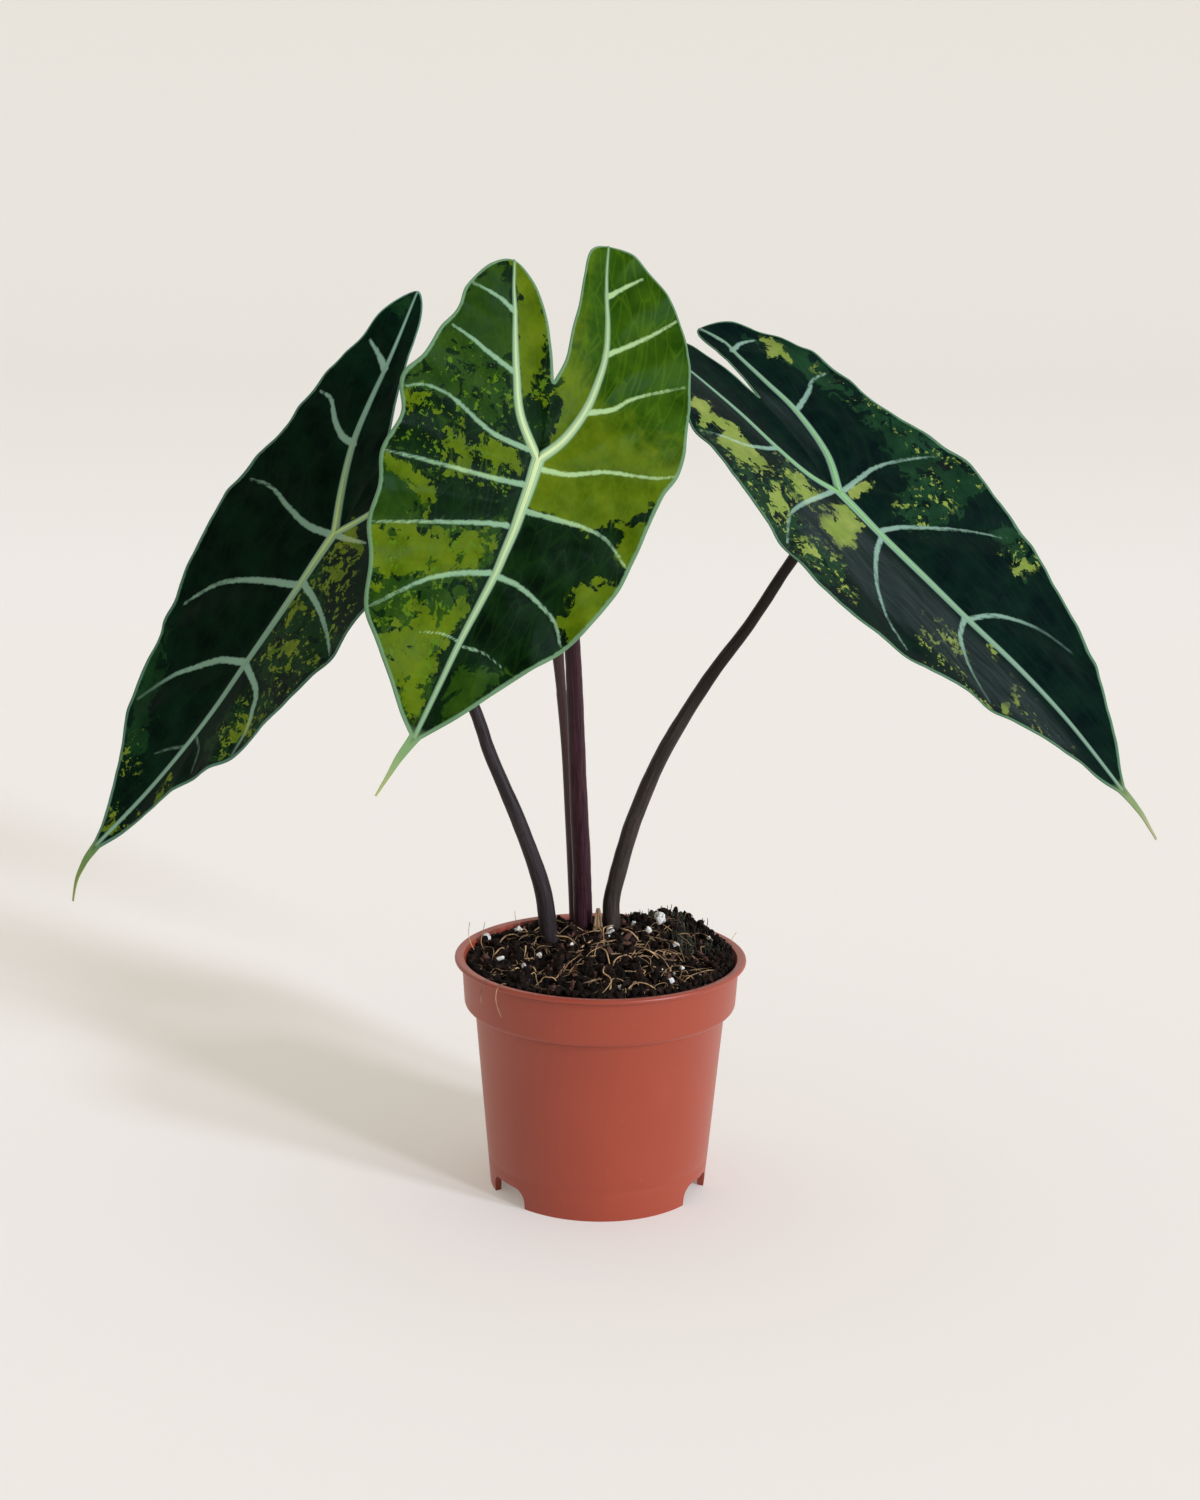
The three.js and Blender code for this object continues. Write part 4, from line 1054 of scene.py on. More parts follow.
def add_half(bm, leaf, half):
    """Adds one half of a blade. The layer "web" keeps each point's way out from the rib, its way
    along the rib and its share of the width, all in the row that it lies in."""
    ends, lobe_rows, tip_row = half_ends(leaf, half)
    web = bm.verts.layers.float_vector["web"]
    side = half["side"]

    def settle(point, t, u, end, bow):
        foot = ends(t)[0]
        span = end - foot
        flat = foot + span * u
        flat.x -= bow * span.length * 4 * u * (1 - u)
        point[web] = (span.length * u * side, (t - lobe_rows) * ROW_LENGTH, u)
        point.co = (flat.x, flat.y * side, 0)

    def outer(point, column, row):
        t = row / ROWS_PER_STEP
        bow = ROW_BOW * float(smooth(t, lobe_rows - 3, lobe_rows + 2))
        settle(point, t, (column / OUTER_COLUMNS) ** 1.15, ends(t)[1], bow)

    def inner(point, column, row):
        t = row / ROWS_PER_STEP
        settle(point, t, column / INNER_COLUMNS, ends(t)[2], 0)

    mapped_grid(bm, OUTER_COLUMNS, (tip_row + len(leaf["tail"])) * ROWS_PER_STEP, outer)
    mapped_grid(bm, INNER_COLUMNS, lobe_rows * ROWS_PER_STEP, inner)


# %% Distances on the blade


def to_line(places, line):
    """Each place's distance to a line of points, and the share of the line where it is nearest."""
    starts, steps = line[:-1], np.diff(line, axis=0)
    away = places[:, None, :] - starts[None]
    share = np.clip((away * steps).sum(2) / np.maximum((steps**2).sum(1), 1e-9), 0, 1)
    distance = np.linalg.norm(away - share[:, :, None] * steps, axis=2)
    best = distance.argmin(1)
    rows = np.arange(len(places))
    return distance[rows, best], (best + share[rows, best]) / len(steps)


def inside_patch(places, patch):
    """How far inside a patch each place lies, below zero outside it."""
    ring = np.array([*patch, patch[0]], float)
    crossed = np.zeros(len(places), bool)
    for (a0, b0), (a1, b1) in zip(ring, ring[1:]):
        level = (b0 > places[:, 1]) != (b1 > places[:, 1])
        reach = a0 + (a1 - a0) * (places[:, 1] - b0) / (b1 - b0 if b1 != b0 else 1)
        crossed ^= level & (places[:, 0] < reach)
    distance = to_line(places, ring)[0]
    return np.where(crossed, distance, -distance)


def most_inside(places, patches):
    """How far inside the nearest of several patches each place lies."""
    return np.clip(np.max([inside_patch(places, patch) for patch in patches], axis=0), -FAR, FAR)


# %% The lines of a blade


def blade_veins(leaf):
    """Every vein as (line, half-width at its start, half-width at its end, how far it stands
    out). The midrib and the two lobe ribs come first."""
    rib = leaf["rib_width"] / 2
    veins = [(drawn(leaf["midrib"], 60), rib, 0.28 * rib, 1)]
    for half in leaf["halves"]:
        line = drawn([(0, 0), *reversed(half["lobe_vein"]), half["margin"][0]], 40)
        veins.append((line * (1, half["side"]), 0.78 * rib, 0.12 * rib, 0.85))
    for kind, share, stands in (("side_veins", 1, 0.5), ("fine_veins", 0.45, 0.25)):
        width = share * leaf["vein_width"] / 2
        veins += [(drawn(points, 20), width, 0.28 * width, stands) for points in leaf[kind]]
    return veins


def leaf_outline(leaf):
    """The blade's outline as lines, one for each half, without the slit's closed stretch."""
    lines = []
    for half in leaf["halves"]:
        ends, _, tip_row = half_ends(leaf, half)
        inside = [ends(step / 4)[2] for step in range(len(half["inner"]) * 4, -1, -1)]
        outside = [ends(step / 4)[1] for step in range((tip_row + len(leaf["tail"])) * 4 + 1)]
        lines.append(np.array([*inside, *outside[1:]]) * (1, half["side"]))
    return lines


# %% A blade's relief and its place


def vein_relief(leaf, flat):
    """Distances to the ribs' and veins' edges, the place across a rib from its crest, and how far
    ribs and veins stand out above and below, at each place on the flat blade."""
    edges = {"rib": np.full(len(flat), float(FAR)), "vein": np.full(len(flat), float(FAR))}
    crest, ridge, keel = np.full(len(flat), 2.0), np.zeros(len(flat)), np.zeros(len(flat))
    for index, (line, first, last, strength) in enumerate(blade_veins(leaf)):
        distance, share = to_line(flat, line)
        half_width = first + (last - first) * share
        kind = "rib" if index < 3 else "vein"
        edges[kind] = np.minimum(edges[kind], distance - half_width)
        if kind == "rib":
            crest = np.minimum(crest, distance / half_width)
        rise = strength * (half_width / first) * (1 - smooth(distance / half_width, 0.2, 1.25))
        above, below = (RIB_ABOVE, RIB_BELOW) if kind == "rib" else (VEIN_ABOVE, VEIN_BELOW)
        ridge = np.maximum(ridge, above * rise)
        keel = np.maximum(keel, below * rise)
    return {**edges, "crest": crest}, ridge, keel


def blade_height(leaf, along, across):
    """How far the middle of the blade stands out of its frame: a shallow V that bends down."""
    tip, lobe = leaf["tip_drop"] * (along / 150) ** 2, leaf["lobe_drop"] * (along / 100) ** 2
    droop = np.where(along > 0, tip, lobe)
    return math.tan(math.radians(leaf["fold"])) * (np.hypot(across, 4) - 4) - droop


def blade_frame(leaf):
    """The matrix that turns a blade's own frame (along, across, up) into place."""
    azimuth, dip, roll = (math.radians(leaf[key]) for key in ("azimuth", "dip", "roll"))
    along = Vector((*polar(math.cos(dip), azimuth), -math.sin(dip)))
    level_up = (Vector((0, 0, 1)) - along * along.z).normalized()
    up = level_up * math.cos(roll) + along.cross(level_up) * math.sin(roll)
    turn = Matrix((along, along.cross(up), up)).transposed()
    return Matrix.Translation(leaf["junction"]) @ turn.to_4x4()


# %% One blade, from sheet to solid


def blade(leaf, materials, slot):
    """Makes a leaf's blade: sheet, relief, attributes, place and thickness."""
    bm = bmesh.new()
    bm.verts.layers.float_vector.new("web")
    for half in leaf["halves"]:
        add_half(bm, leaf, half)
    bmesh.ops.remove_doubles(bm, verts=bm.verts, dist=0.004)
    bmesh.ops.dissolve_degenerate(bm, edges=bm.edges, dist=1e-4)
    bmesh.ops.recalc_face_normals(bm, faces=bm.faces)
    flat = np.array([point.co[:2] for point in bm.verts])
    marks, ridge, keel = vein_relief(leaf, flat)
    margin = np.min([to_line(flat, line)[0] for line in leaf_outline(leaf)], axis=0)
    marks["margin"] = np.minimum(margin, FAR)
    marks.update({zone: most_inside(flat, leaf[zone]) for zone in PATCHES})

    # The sheet's heights, its attributes and its thickness
    layers = {name: bm.verts.layers.float.new(name) for name in marks}
    leaf_place = bm.verts.layers.float_vector.new("leaf")
    thickness = bm.verts.layers.deform.verify()
    outwards = np.array([point[bm.verts.layers.float_vector["web"]].z for point in bm.verts])
    on_web = smooth(np.minimum(marks["rib"], marks["vein"]), 0, QUILT_REACH)
    on_blade = 1 - smooth(flat[:, 0], leaf["midrib"][-1][0] - 14, leaf["midrib"][-1][0])
    quilt = QUILT * on_web * (1 - 0.4 * outwards)
    waves = (quilt + EDGE_WAVE * (2 * on_web - 1) * outwards**3) * on_blade
    middle = blade_height(leaf, flat[:, 0], flat[:, 1])
    thin = BLADE_THICKNESS * (0.6 + 0.4 * smooth(margin, 0, 2))
    for index, point in enumerate(bm.verts):
        for name, layer in layers.items():
            point[layer] = marks[name][index]
        point[leaf_place] = (*flat[index], 0)
        puckers = 0.4 * noise.noise(Vector((*flat[index] / 7, 3))) * on_web[index]
        point.co.z = middle[index] + waves[index] + puckers + BLADE_THICKNESS / 2 + ridge[index]
        point[thickness][0] = min((thin[index] + ridge[index] + keel[index]) / THICKEST, 1)

    bmesh.ops.transform(bm, matrix=blade_frame(leaf), space=Matrix(), verts=bm.verts)
    face_towards(bm, blade_frame(leaf).col[2].to_3d())
    piece = new_piece(bm, f"{leaf['name']}_blade", materials, slot, f"{leaf['name']}_leaf_blade")
    piece.vertex_groups.new(name="thickness")
    solid = piece.modifiers.new("blade thickness", "SOLIDIFY")
    solid.thickness = THICKEST * MM
    solid.offset = -1
    solid.vertex_group = "thickness"
    solid.use_even_offset = False
    solid.material_offset = 1


# %% [markdown]
# ## The rootstock, the stalks, the young leaf and the dry sheath
#
# The stalks are round tubes whose radius eases from the soil to the blade. Their skin is smooth
# and dark purple, with fine streaks along it. The youngest leaf is still rolled up in a long
# spindle, whose free edge shows as a lip that winds round it.

# %% The stalks' skin


def along_streaks(tree, width, length, detail=3):
    """The unrolled place on a tube, and a noise in streaks of a width and length in millimetres."""
    place = add(tree, "Attribute", attribute_name="lengthwise").outputs["Vector"]
    drawn_out = add(tree, "Mapping", place, Scale=(1 / width, 1 / width, 1 / length))
    return place, add(tree, "TexNoise", drawn_out, Scale=1, Detail=detail)


def stalk_skin(name, dark, pale, top):
    """Petiole skin: smooth and waxy, with streaks 0.5 mm wide and a few mottles. Top is the
    colour near the blade."""
    material, tree = new_material(name)
    place, streaks = along_streaks(tree, 0.5, 14)
    streaky = add(tree, "MapRange", streaks, 0.35, 0.68)
    # Mottles about 2.5 mm long, like faint bands across the stalk
    mottle = add(tree, "TexNoise", place, Scale=1 / 2.5, Detail=3)
    mottled = add(tree, "MapRange", mottle, 0.55, 0.7, 0, 0.5)
    tone = add(tree, "Mix", streaky, dark, pale, data_type="RGBA")
    tone = add(tree, "Mix", mottled, tone, dark, data_type="RGBA")
    height = add(tree, "SeparateXYZ", place).outputs["Z"]
    near_top = add(tree, "MapRange", height, 110, 205, 0, 0.8)
    tone = add(tree, "Mix", near_top, tone, top, data_type="RGBA")
    bump = add(tree, "Bump", Height=streaks, Strength=0.4, Distance=0.00015)
    add(tree, "OutputMaterial", add(tree, "BsdfPrincipled", Base_Color=tone, Roughness=0.42, IOR=1.42,
                                    Specular_IOR_Level=0.15, Normal=bump))
    return material


# %% The stalks
STALKS = {
    "centre": {
        "route": [(-7.5, 23, 85), (-7.5, 25.5, 101), (-8.5, 22, 131), (-10, 15, 160), (-11, 6, 186),
                  (-13, -10, 228.5), (-17, -24, 260), (-22, -36, 285)],
        "radii": [4.4, 4.1, 3.9, 3.7, 3.5, 3.2, 2.9, 2.7, 2.5],
        "skin": stalk_skin("purple stalk", "#27151a", "#472a30", "#1f1216"),
        "slot": "stalk_purple",
    },
    "left": {
        "route": [(-15, 14.5, 85), (-21, 10.5, 100.5), (-24.6, 9, 123.5), (-33.5, 8, 149.5),
                  (-45.8, 8, 179), (-52, 8, 197), (-61, 8, 217), (-74, 8.5, 236.5), (-90, 8, 254)],
        "radii": [4.2, 3.8, 3.5, 3.1, 2.7, 2.6, 2.5, 2.4, 2.3, 2.2],
        "skin": stalk_skin("black-purple stalk", "#1f1a1a", "#3a3232", "#151212"),
        "slot": "stalk_black_purple",
    },
    "right": {
        "route": [(1.5, 25.5, 85), (4.5, 27, 101), (4.5, 27.5, 113.5), (9.5, 28, 135), (15, 28, 153),
                  (25.8, 27, 179), (42.8, 26, 208.5), (59.7, 24, 233), (74.7, 21, 258)],
        "radii": [4.2, 3.8, 3.6, 3.5, 3.4, 3.1, 2.7, 2.4, 2.3, 2.2],
        "skin": stalk_skin("grey-brown stalk", "#2a231e", "#443c36", "#272321"),
        "slot": "stalk_grey_brown",
    },
}
STALK_TOP_SINKS = 0.5


def stem(route, radii, sides, rings, outline=None):
    """A model of a tube that goes through the radii, one after another, on its way."""
    bm = bmesh.new()
    bm.verts.layers.float_vector.new("lengthwise")
    steps = [Vector(step) for step in enumerate(radii)]
    return bm, tube(bm, route, lambda share: on_line(steps, share).y, sides, rings, outline)


for leaf in LEAVES:
    name, stalk = leaf["name"], STALKS[leaf["name"]]
    top = blade_frame(leaf) @ Vector((0, 0, STALK_TOP_SINKS - BLADE_THICKNESS / 2 - RIB_BELOW))
    bm, points = stem([*stalk["route"], top], stalk["radii"], 40, 240)
    # A faint flutter keeps the skin from being a perfect tube
    for point in points:
        flutter = 0.18 * noise.noise(point.co / 6)
        point.co += Vector((flutter, 0.6 * flutter, 0))
    close_up(bm)
    new_piece(bm, f"{name}_stalk", [stalk["skin"]], stalk["slot"], f"{name}_leaf_stalk")

# %% The young leaf, rolled
YOUNG_ROUTE = [(-11, 31.5, 85), (-11, 34, 101), (-12.3, 33, 125), (-13.8, 31, 149.5), (-15.8, 27, 181.5),
               (-18.8, 21, 215), (-22, 17, 242), (-25, 14, 265), (-27, 12.5, 288)]
YOUNG_RADII = [2.7, 2.5, 2.3, 2.1, 2.0, 2.4, 3.3, 2.6, 0.5]
LIP_TURNS = 1.2
LIP_FOOT = 0.58


def rolled(angle, share):
    """The rolled blade's outline: it grows round the spindle, and drops back at the free edge."""
    if share < LIP_FOOT:
        return 1
    turn = (angle / (2 * math.pi) + LIP_TURNS * share) % 1
    lip = 0.2 * (turn / 0.93 if turn < 0.93 else (1 - turn) / 0.07)
    return 0.92 + lip * float(smooth(share, LIP_FOOT, LIP_FOOT + 0.12))


# Its stalk is reddish brown, and the rolled blade is green
young, tree = new_material("young leaf, rolled")
place, streaks = along_streaks(tree, 0.6, 20)
stalk_tone = add(tree, "Mix", streaks, "#28191b", "#4b312d", data_type="RGBA")
green = add(tree, "Mix", streaks, "#2c3f1c", "#5d7434", data_type="RGBA")
greener = add(tree, "MapRange", add(tree, "SeparateXYZ", place).outputs["Z"], 228, 245)
tone = add(tree, "Mix", greener, stalk_tone, green, data_type="RGBA")
bump = add(tree, "Bump", Height=streaks, Strength=0.4, Distance=0.00015)
add(tree, "OutputMaterial", add(
    tree, "BsdfPrincipled", Base_Color=tone, Roughness=0.42, Specular_IOR_Level=0.3, Normal=bump))

bm, _ = stem(YOUNG_ROUTE, YOUNG_RADII, 60, 260, rolled)
close_up(bm)
new_piece(bm, "young_leaf", [young], "young_leaf", "young_rolled_leaf")

# %% The dry sheath of an old leaf
SHEATH_AT = (-1.2, 20.2)
SHEATH_FOOT = 90
SHEATH_TOP = 112
SHEATH_WIDTH = 5.5
SHEATH_BEND = 6
SHEATH_COLUMNS = 30
SHEATH_ROWS = 50

papery, tree = new_material("dried papery sheath")
_, veins = along_streaks(tree, 0.5, 12, 4)
tan = add(tree, "Mix", veins, "#5b3f26", "#b89a70", data_type="RGBA")
bump = add(tree, "Bump", Height=veins, Strength=0.8, Distance=0.0003)
add(tree, "OutputMaterial", add(tree, "BsdfPrincipled", Base_Color=tan, Roughness=0.75, Normal=bump))

bm = bmesh.new()
lengthwise = bm.verts.layers.float_vector.new("lengthwise")


def settle_sheath(point, column, row):
    """A curved scale, narrower towards its ragged top, that leans forwards."""
    step, level = 2 * column / SHEATH_COLUMNS - 1, row / SHEATH_ROWS
    width = SHEATH_WIDTH * (1 - 0.75 * level**2)
    ragged = 1.6 * abs(noise.noise(Vector((column / 2.5, 0, 3)))) * level**3
    crumple = 0.35 * noise.noise(Vector((column / 6, row / 9, 1)))
    back, out = polar(SHEATH_BEND + crumple, step * width / (2 * SHEATH_BEND))
    z = SHEATH_FOOT + (SHEATH_TOP - SHEATH_FOOT) * level - ragged
    point.co = (SHEATH_AT[0] + out, SHEATH_AT[1] - 1.5 * level**2 + back - SHEATH_BEND, z)
    point[lengthwise] = (step * width / 2, 0, z)


mapped_grid(bm, SHEATH_COLUMNS, SHEATH_ROWS, settle_sheath)
sheath = new_piece(bm, "papery_sheath", [papery], "dry_sheath", "dry_leaf_sheath")
thick = sheath.modifiers.new("sheath thickness", "SOLIDIFY")
thick.thickness = 0.5 * MM
thick.offset = 0

# %% The rootstock, below the soil
ROOT_TOP = 84.7
ROOT_DEPTH = 27
ROOT_RADIUS = 14
ROOT_AXIS = (-7, 22.5, 0)
ROOT_SHAPE = ((0, 0), (0.5, 0.056), (0.85, 0.25), (1, 0.6), (1, 0.89), (0.89, 1), (0, 1))

corm_stuff = cloudy_stuff("corm skin", 0.003, 4, "#3c2617", "#8a6545", Roughness=0.8)
profile = []
for out, up in drawn(ROOT_SHAPE, 60):
    scar = 0.02 * math.sin(up * 60)
    profile.append((max(out * (1 + scar), 0) * ROOT_RADIUS, ROOT_TOP - ROOT_DEPTH * (1 - up)))
bm = bmesh.new()
spun(bm, profile, 48)
bmesh.ops.translate(bm, vec=ROOT_AXIS, verts=bm.verts)
new_piece(bm, "corm", [corm_stuff], "corm", "rootstock")

# %% [markdown]
# ## The blades' faces
#
# The upper face is waxy. Its dark green is broken by patches that hold less green: lime, mid green
# and darker lime, with the ragged edges of ink on damp paper. A patch ends where a vein stops it.
# Small flecks lie in the speckled zones, and in others a grey sheen is painted into the colour,
# a painted reflection of the light. Ribs, veins and margin are paler. The face is built up in these
# layers, one function for each, and the functions hand on one set of nodes. The underside is dull,
# grey-green and a little purplish.

# %% The colours of the three leaves
# Each leaf's grey sheen colour is painted light: a reflection painted into the colour.
SHADES = {
    "centre": {
        "deep": ("#020c03", "#0a2007"), "mid": ("#143005", "#29430b"), "lime": ("#3e5203", "#57690b"),
        "shaded": ("#1c3b03", "#315007"), "fleck": "#4b6a0d", "painted_sheen": "#263a2a", "margin": "#64845f",
        "rib": "#bacb93", "rib end": "#7c9b73", "vein": "#7b9c78", "vein on lime": "#9ab67c",
        "tail": "#728f5c", "tip": "#9aa066", "margin width": 1.4, "rib fades": 110,
    },
    "left": {
        "deep": ("#020f09", "#082113"), "mid": ("#0b2612", "#18391b"), "lime": ("#4a6616", "#71821f"),
        "shaded": ("#4f6c1c", "#6c801f"), "fleck": "#6d8226", "painted_sheen": "#15271d", "margin": "#587e68",
        "rib": "#b6d188", "rib end": "#83a68e", "vein": "#84a892", "vein on lime": "#9ab07c",
        "tail": "#66824a", "tip": "#868f50", "margin width": 1.1, "rib fades": 45,
    },
    "right": {
        "deep": ("#020f0f", "#061b14"), "mid": ("#0b2716", "#1a3a22"), "lime": ("#6a7f34", "#869347"),
        "shaded": ("#375426", "#66793a"), "fleck": "#84943f", "painted_sheen": "#2f3838", "margin": "#567a5c",
        "rib": "#82b072", "rib end": "#7f9d82", "vein": "#7b9a86", "vein on lime": "#97b193",
        "tail": "#7c8f5f", "tip": "#a8a47c", "margin width": 1.0, "rib fades": 105,
    },
}

# %% What the layers share


def new_face(leaf):
    """An upper face without its layers: a tree, with the places and zones that the layers read."""
    material, tree = new_material(f"{leaf['name']} leaf, waxy upper face")
    face = SimpleNamespace(material=material, shades=SHADES[leaf["name"]])
    face.place, face.web = (
        add(tree, "Attribute", attribute_name=name).outputs["Vector"] for name in ("leaf", "web"))
    face.zones = {zone: add(tree, "Attribute", attribute_name=zone).outputs["Fac"]
                  for zone in ("rib", "crest", "vein", "margin", *PATCHES)}
    face.speckled = add(tree, "MapRange", face.zones["speckled"], -2, 3)
    face.on_lime = add(tree, "MapRange", face.zones["lime"], -2, 2)
    # Clouds 14 mm wide tint every zone. A swirl 12 mm wide pushes the blots out of round.
    face.clouds = add(tree, "TexNoise", face.place, Scale=1 / 14, Detail=4, Roughness=0.6)
    face.tones = add(tree, "MapRange", face.clouds, 0.36, 0.64)
    swirl = add(tree, "TexNoise", face.place, Scale=1 / 12, Detail=2).outputs["Color"]
    face.pushed = add(tree, "VectorMath", swirl, (10, 10, 0), face.place, operation="MULTIPLY_ADD")
    face.crumbs = add(tree, "TexNoise", face.pushed, Scale=1 / 2.2, Detail=4, Roughness=0.6)
    return face, tree


# %% Patches


def patches_on(face, tree):
    """The dark web with its patches of mid green and lime, darker lime among them."""
    # A patch's edge wanders up to 4 mm with the blots, and less near a vein, where it ends. In the
    # speckled zones the blots are stronger, so they also break up the middle of a patch.
    nearest = add(tree, "Math", face.zones["rib"], face.zones["vein"], operation="MINIMUM")
    free = add(tree, "MapRange", nearest, 0, 3, 0.3, 1)
    stronger = add(tree, "MapRange", face.zones["speckled"], -2, 3, 1, 2.6)
    strength = add(tree, "Math", stronger, free, operation="MULTIPLY")
    blots = add(tree, "TexNoise", face.pushed, Scale=1 / 6.5, Detail=6, Roughness=0.62)
    ragged = add(tree, "MapRange", blots, 0.28, 0.72, -4.5, 4.5)
    wander = add(tree, "Math", ragged, strength, operation="MULTIPLY")
    smears = add(tree, "TexNoise", face.place, Scale=1 / 8, Detail=5, Roughness=0.6, Distortion=1.2)
    spread = add(tree, "MapRange", smears, 0.28, 0.72, -7, 5)
    drift = add(tree, "Math", spread, strength, operation="MULTIPLY")
    broken = add(tree, "MapRange", face.crumbs, 0.3, 0.7, -3, 3)
    splash = add(tree, "Math", broken, face.speckled, wander, operation="MULTIPLY_ADD")

    # The mid green is smeared wide and the lime is splashed on it, in its lighter and darker shade
    deep, mid, lime, shaded = (add(tree, "Mix", face.tones, *face.shades[zone], data_type="RGBA")
                               for zone in ("deep", "mid", "lime", "shaded"))
    in_shade = add(tree, "Math", drift, face.zones["shaded"], operation="ADD")
    in_shade = add(tree, "MapRange", in_shade, -6, 5)
    lime = add(tree, "Mix", in_shade, lime, shaded, data_type="RGBA")
    skin = deep
    for zone, pattern, softness, tint in (("mid", drift, 0.8, mid), ("lime", splash, 0.35, lime)):
        depth = add(tree, "MapRange", face.zones[zone], -13, 6, -13, 6)
        reach = add(tree, "Math", pattern, depth, operation="ADD")
        inside = add(tree, "MapRange", reach, -softness, softness)
        skin = add(tree, "Mix", inside, skin, tint, data_type="RGBA")
    return skin


# %% Flecks, bloom and veinlets


def fine_marks_on(face, tree, skin):
    """Flecks in clusters, a painted grey sheen on the dark green that stands for a reflection of the light,
    and a net of veinlets over all.
    """
    # Flecks 1 to 3 mm wide, only in the speckled zones
    flecks = add(tree, "TexNoise", face.place, Scale=1 / 2.6, Detail=3, Roughness=0.65)
    clusters = add(tree, "TexNoise", face.pushed, Scale=1 / 9, Detail=1)
    density = add(tree, "Math", clusters, 0.55, flecks, operation="MULTIPLY_ADD")
    dense = add(tree, "MapRange", density, 0.88, 0.92, 0, 0.9)
    fleck = add(tree, "Math", dense, face.speckled, operation="MULTIPLY")
    skin = add(tree, "Mix", fleck, skin, face.shades["fleck"], data_type="RGBA")

    # The painted sheen, a grey reflection of the light painted into the colour, is drawn out along the leaf,
    # in streaks 2.5 mm apart and 20 mm long
    drawn_out = add(tree, "Mapping", face.place, Scale=(1 / 20, 1 / 2.5, 1))
    streaks = add(tree, "TexNoise", drawn_out, Scale=1, Detail=4)
    thin_out = add(tree, "MapRange", streaks, 0.3, 0.65, 0.1, 0.7)
    in_painted_sheen = add(tree, "MapRange", face.zones["painted_sheen"], -1, 5)
    painted_sheen = add(tree, "Math", in_painted_sheen, thin_out, operation="MULTIPLY")
    off_lime = add(tree, "MapRange", face.zones["lime"], 3, -1)
    dark_only = add(tree, "Math", painted_sheen, off_lime, operation="MULTIPLY")
    skin = add(tree, "Mix", dark_only, skin, face.shades["painted_sheen"], data_type="RGBA")

    # The veinlets are faint lines, 5 mm apart across the web and 16 mm along it
    stretched = add(tree, "Mapping", face.web, Scale=(1 / 5, 1 / 16, 0))
    net = add(tree, "TexVoronoi", stretched, Scale=1, feature="DISTANCE_TO_EDGE")
    veinlets = add(tree, "MapRange", net, 0.07, 0.01, 0, 0.3)
    tint = add(tree, "Mix", face.on_lime, face.shades["mid"][0], face.shades["fleck"], data_type="RGBA")
    return add(tree, "Mix", veinlets, skin, tint, data_type="RGBA")


# %% Veins, ribs and margin


def veins_on(face, tree, skin):
    """Veins, ribs and the margin's cord, with slightly wavy edges."""
    shades, zones = face.shades, face.zones
    away = add(tree, "VectorMath", face.place, operation="LENGTH")
    calmer = add(tree, "MapRange", away, 80, 95, 1, 0.3)
    waves = add(tree, "MapRange", face.crumbs, 0.3, 0.7, -0.3, 0.3)
    wobble = add(tree, "Math", waves, calmer, operation="MULTIPLY")

    # Veins are paler on lime, and fade on their way out
    edge = add(tree, "Math", zones["vein"], wobble, operation="ADD")
    strength = add(tree, "MapRange", edge, 0.35, -0.35)
    for reading, limits in ((zones["rib"], (4, 45, 1, 0.75)), (away, (84, 100, 1, 0.35))):
        fading = add(tree, "MapRange", reading, *limits)
        strength = add(tree, "Math", strength, fading, operation="MULTIPLY")
    vein = add(tree, "Mix", face.on_lime, shades["vein"], shades["vein on lime"], data_type="RGBA")
    skin = add(tree, "Mix", strength, skin, vein, data_type="RGBA")

    # A rib is brightest at the joint. It has a pale crest, a fine groove whose shade is painted in as a
    # darker line, and duller flanks.
    outer = add(tree, "MapRange", away, 6, shades["rib fades"])
    rib = add(tree, "Mix", outer, shades["rib"], shades["rib end"], data_type="RGBA")
    flank = add(tree, "MapRange", zones["crest"], 0.35, 0.75, 0, 0.9)
    rib = add(tree, "Mix", flank, rib, shades["vein"], data_type="RGBA")
    # The groove is not in the relief: its shade is painted, a darker line on each side of the crest.
    groove_shade = add(tree, "ValToRGB", zones["crest"])
    for stop, level in ((0.3, 0), (0.42, 1), (0.55, 0)):
        groove_shade.color_ramp.elements.new(stop).color = (level, level, level, 1)
    groove_shade.color_ramp.elements[-1].color = (0, 0, 0, 1)
    painted_groove_shade = add(tree, "Math", groove_shade, 0.5, operation="MULTIPLY")
    rib = add(tree, "Mix", painted_groove_shade, rib, shades["mid"][1], data_type="RGBA")
    on_rib = add(tree, "MapRange", zones["rib"], 0.35, -0.35)
    skin = add(tree, "Mix", on_rib, skin, rib, data_type="RGBA")

    # The margin is a pale cord, thinner on the lobes
    face.along = add(tree, "SeparateXYZ", face.place).outputs["X"]
    full = shades["margin width"]
    width = add(tree, "MapRange", face.along, -75, -15, 0.45 * full, full)
    cord = add(tree, "Math", zones["margin"], width, operation="DIVIDE")
    edge = add(tree, "Math", wobble, 0.5, cord, operation="MULTIPLY_ADD")
    on_cord = add(tree, "MapRange", edge, 1.2, 0.8, 0, 0.9)
    return add(tree, "Mix", on_cord, skin, shades["margin"], data_type="RGBA")


# %% The whole upper face


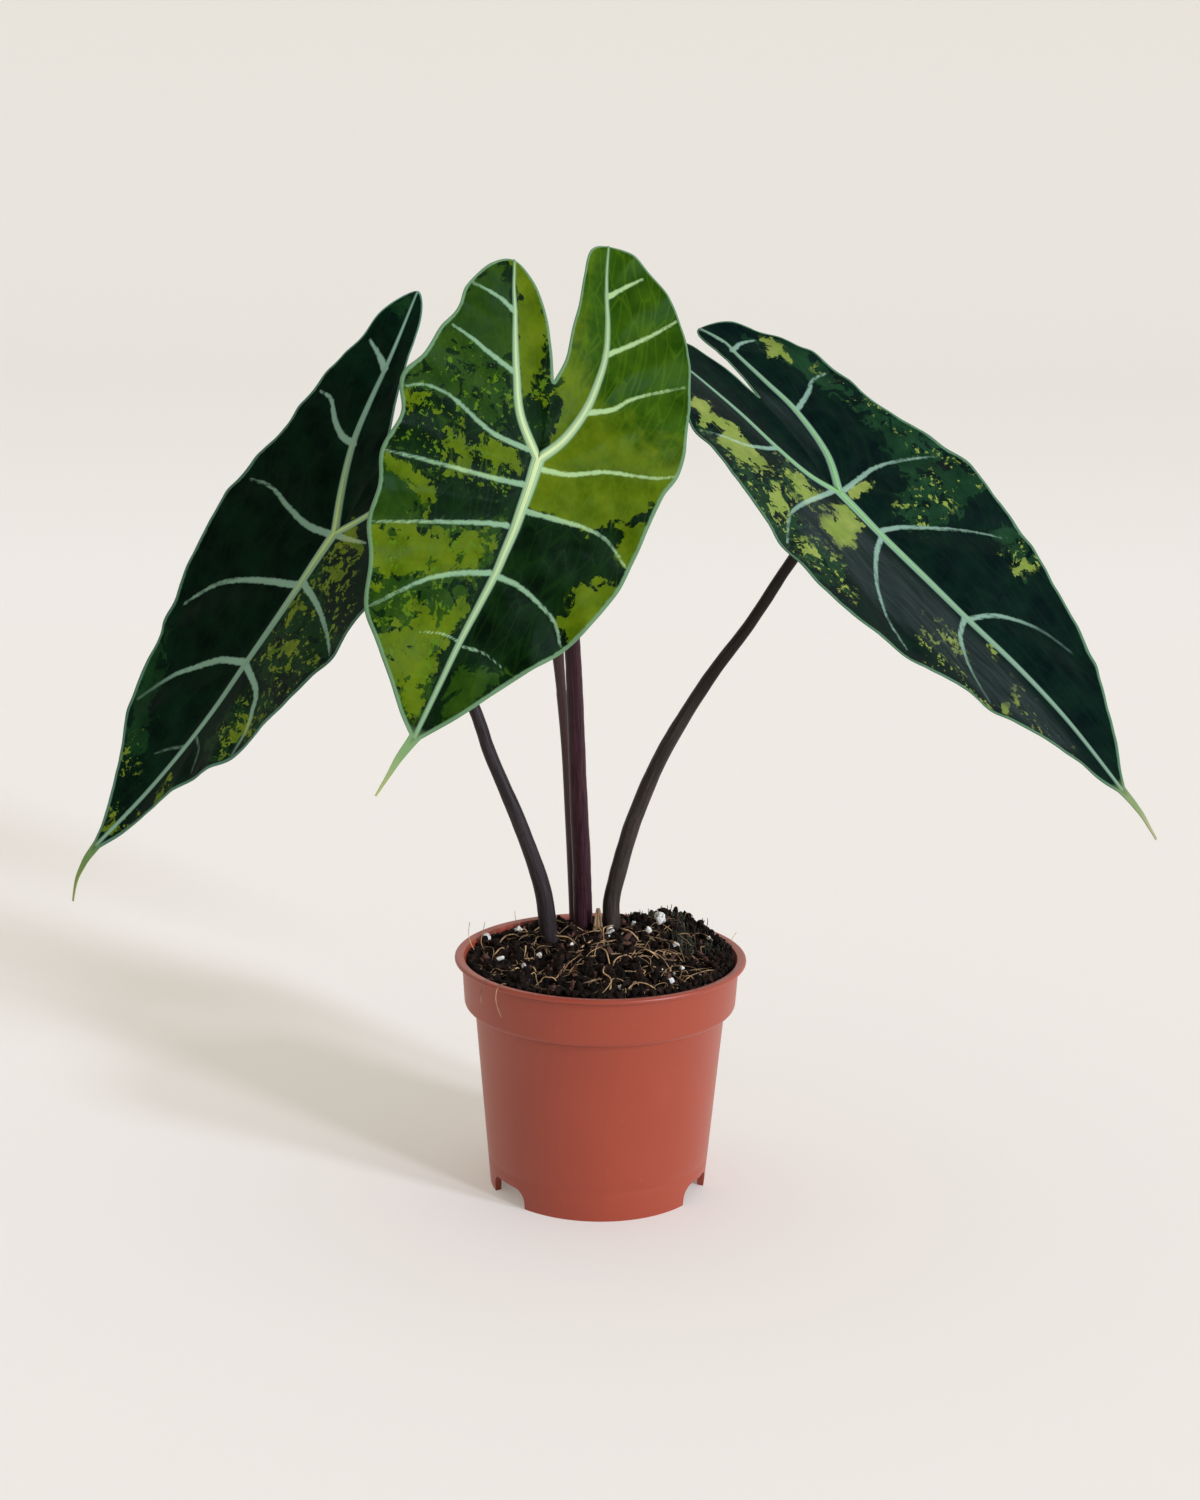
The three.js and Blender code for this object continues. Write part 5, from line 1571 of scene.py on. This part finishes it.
def upper_face(leaf):
    """The material of a blade's upper face: its layers, its drip tip and its wax."""
    face, tree = new_face(leaf)
    skin = veins_on(face, tree, fine_marks_on(face, tree, patches_on(face, tree)))
    # The drip tip pales towards its end
    start, end = leaf["midrib"][-1][0], leaf["tail"][-1][0]
    for part, first, last in (("tail", start - 4, start + 4), ("tip", start + 8, end)):
        share = add(tree, "MapRange", face.along, first, last)
        skin = add(tree, "Mix", share, skin, face.shades[part], data_type="RGBA")

    # Cells 0.4 mm across and soft hollows 4 mm wide give the wax its satin
    cells = add(tree, "TexVoronoi", face.place, Scale=1 / 0.4)
    hollows = add(tree, "TexNoise", face.place, Scale=1 / 4, Detail=2)
    relief = add(tree, "Math", hollows, 7, cells, operation="MULTIPLY_ADD")
    bump = add(tree, "Bump", Height=relief, Strength=0.4, Distance=0.00006)
    satin = add(tree, "MapRange", face.clouds, 0.35, 0.65, 0.34, 0.48)
    add(tree, "OutputMaterial", add(tree, "BsdfPrincipled", Base_Color=skin, Roughness=satin, Normal=bump,
                                    Specular_IOR_Level=0.05, Specular_Tint="#a8cdb0"))
    return face.material


# %% The underside
lower_face, tree = new_material("leaf underside, dull")
place = add(tree, "Attribute", attribute_name="leaf").outputs["Vector"]
rib, vein = (add(tree, "Attribute", attribute_name=mark).outputs["Fac"] for mark in ("rib", "vein"))
nearest = add(tree, "Math", rib, vein, operation="MINIMUM")
clouds = add(tree, "TexNoise", place, Scale=1 / 9, Detail=4, Roughness=0.6)
web = add(tree, "Mix", clouds, "#2f2f2c", "#4d5540", data_type="RGBA")
on_vein = add(tree, "MapRange", nearest, 0.5, -0.4)
skin = add(tree, "Mix", on_vein, web, "#7c8567", data_type="RGBA")
cells = add(tree, "TexVoronoi", place, Scale=1 / 0.5)
bump = add(tree, "Bump", Height=cells, Strength=0.4, Distance=0.00008)
add(tree, "OutputMaterial", add(tree, "BsdfPrincipled", Base_Color=skin, Roughness=0.62, Normal=bump))

# %% The three blades
SLOTS = {"centre": "leaf_variegated_lime", "left": "leaf_dark_left", "right": "leaf_dark_right"}
for leaf in LEAVES:
    blade(leaf, [upper_face(leaf), lower_face], SLOTS[leaf["name"]])
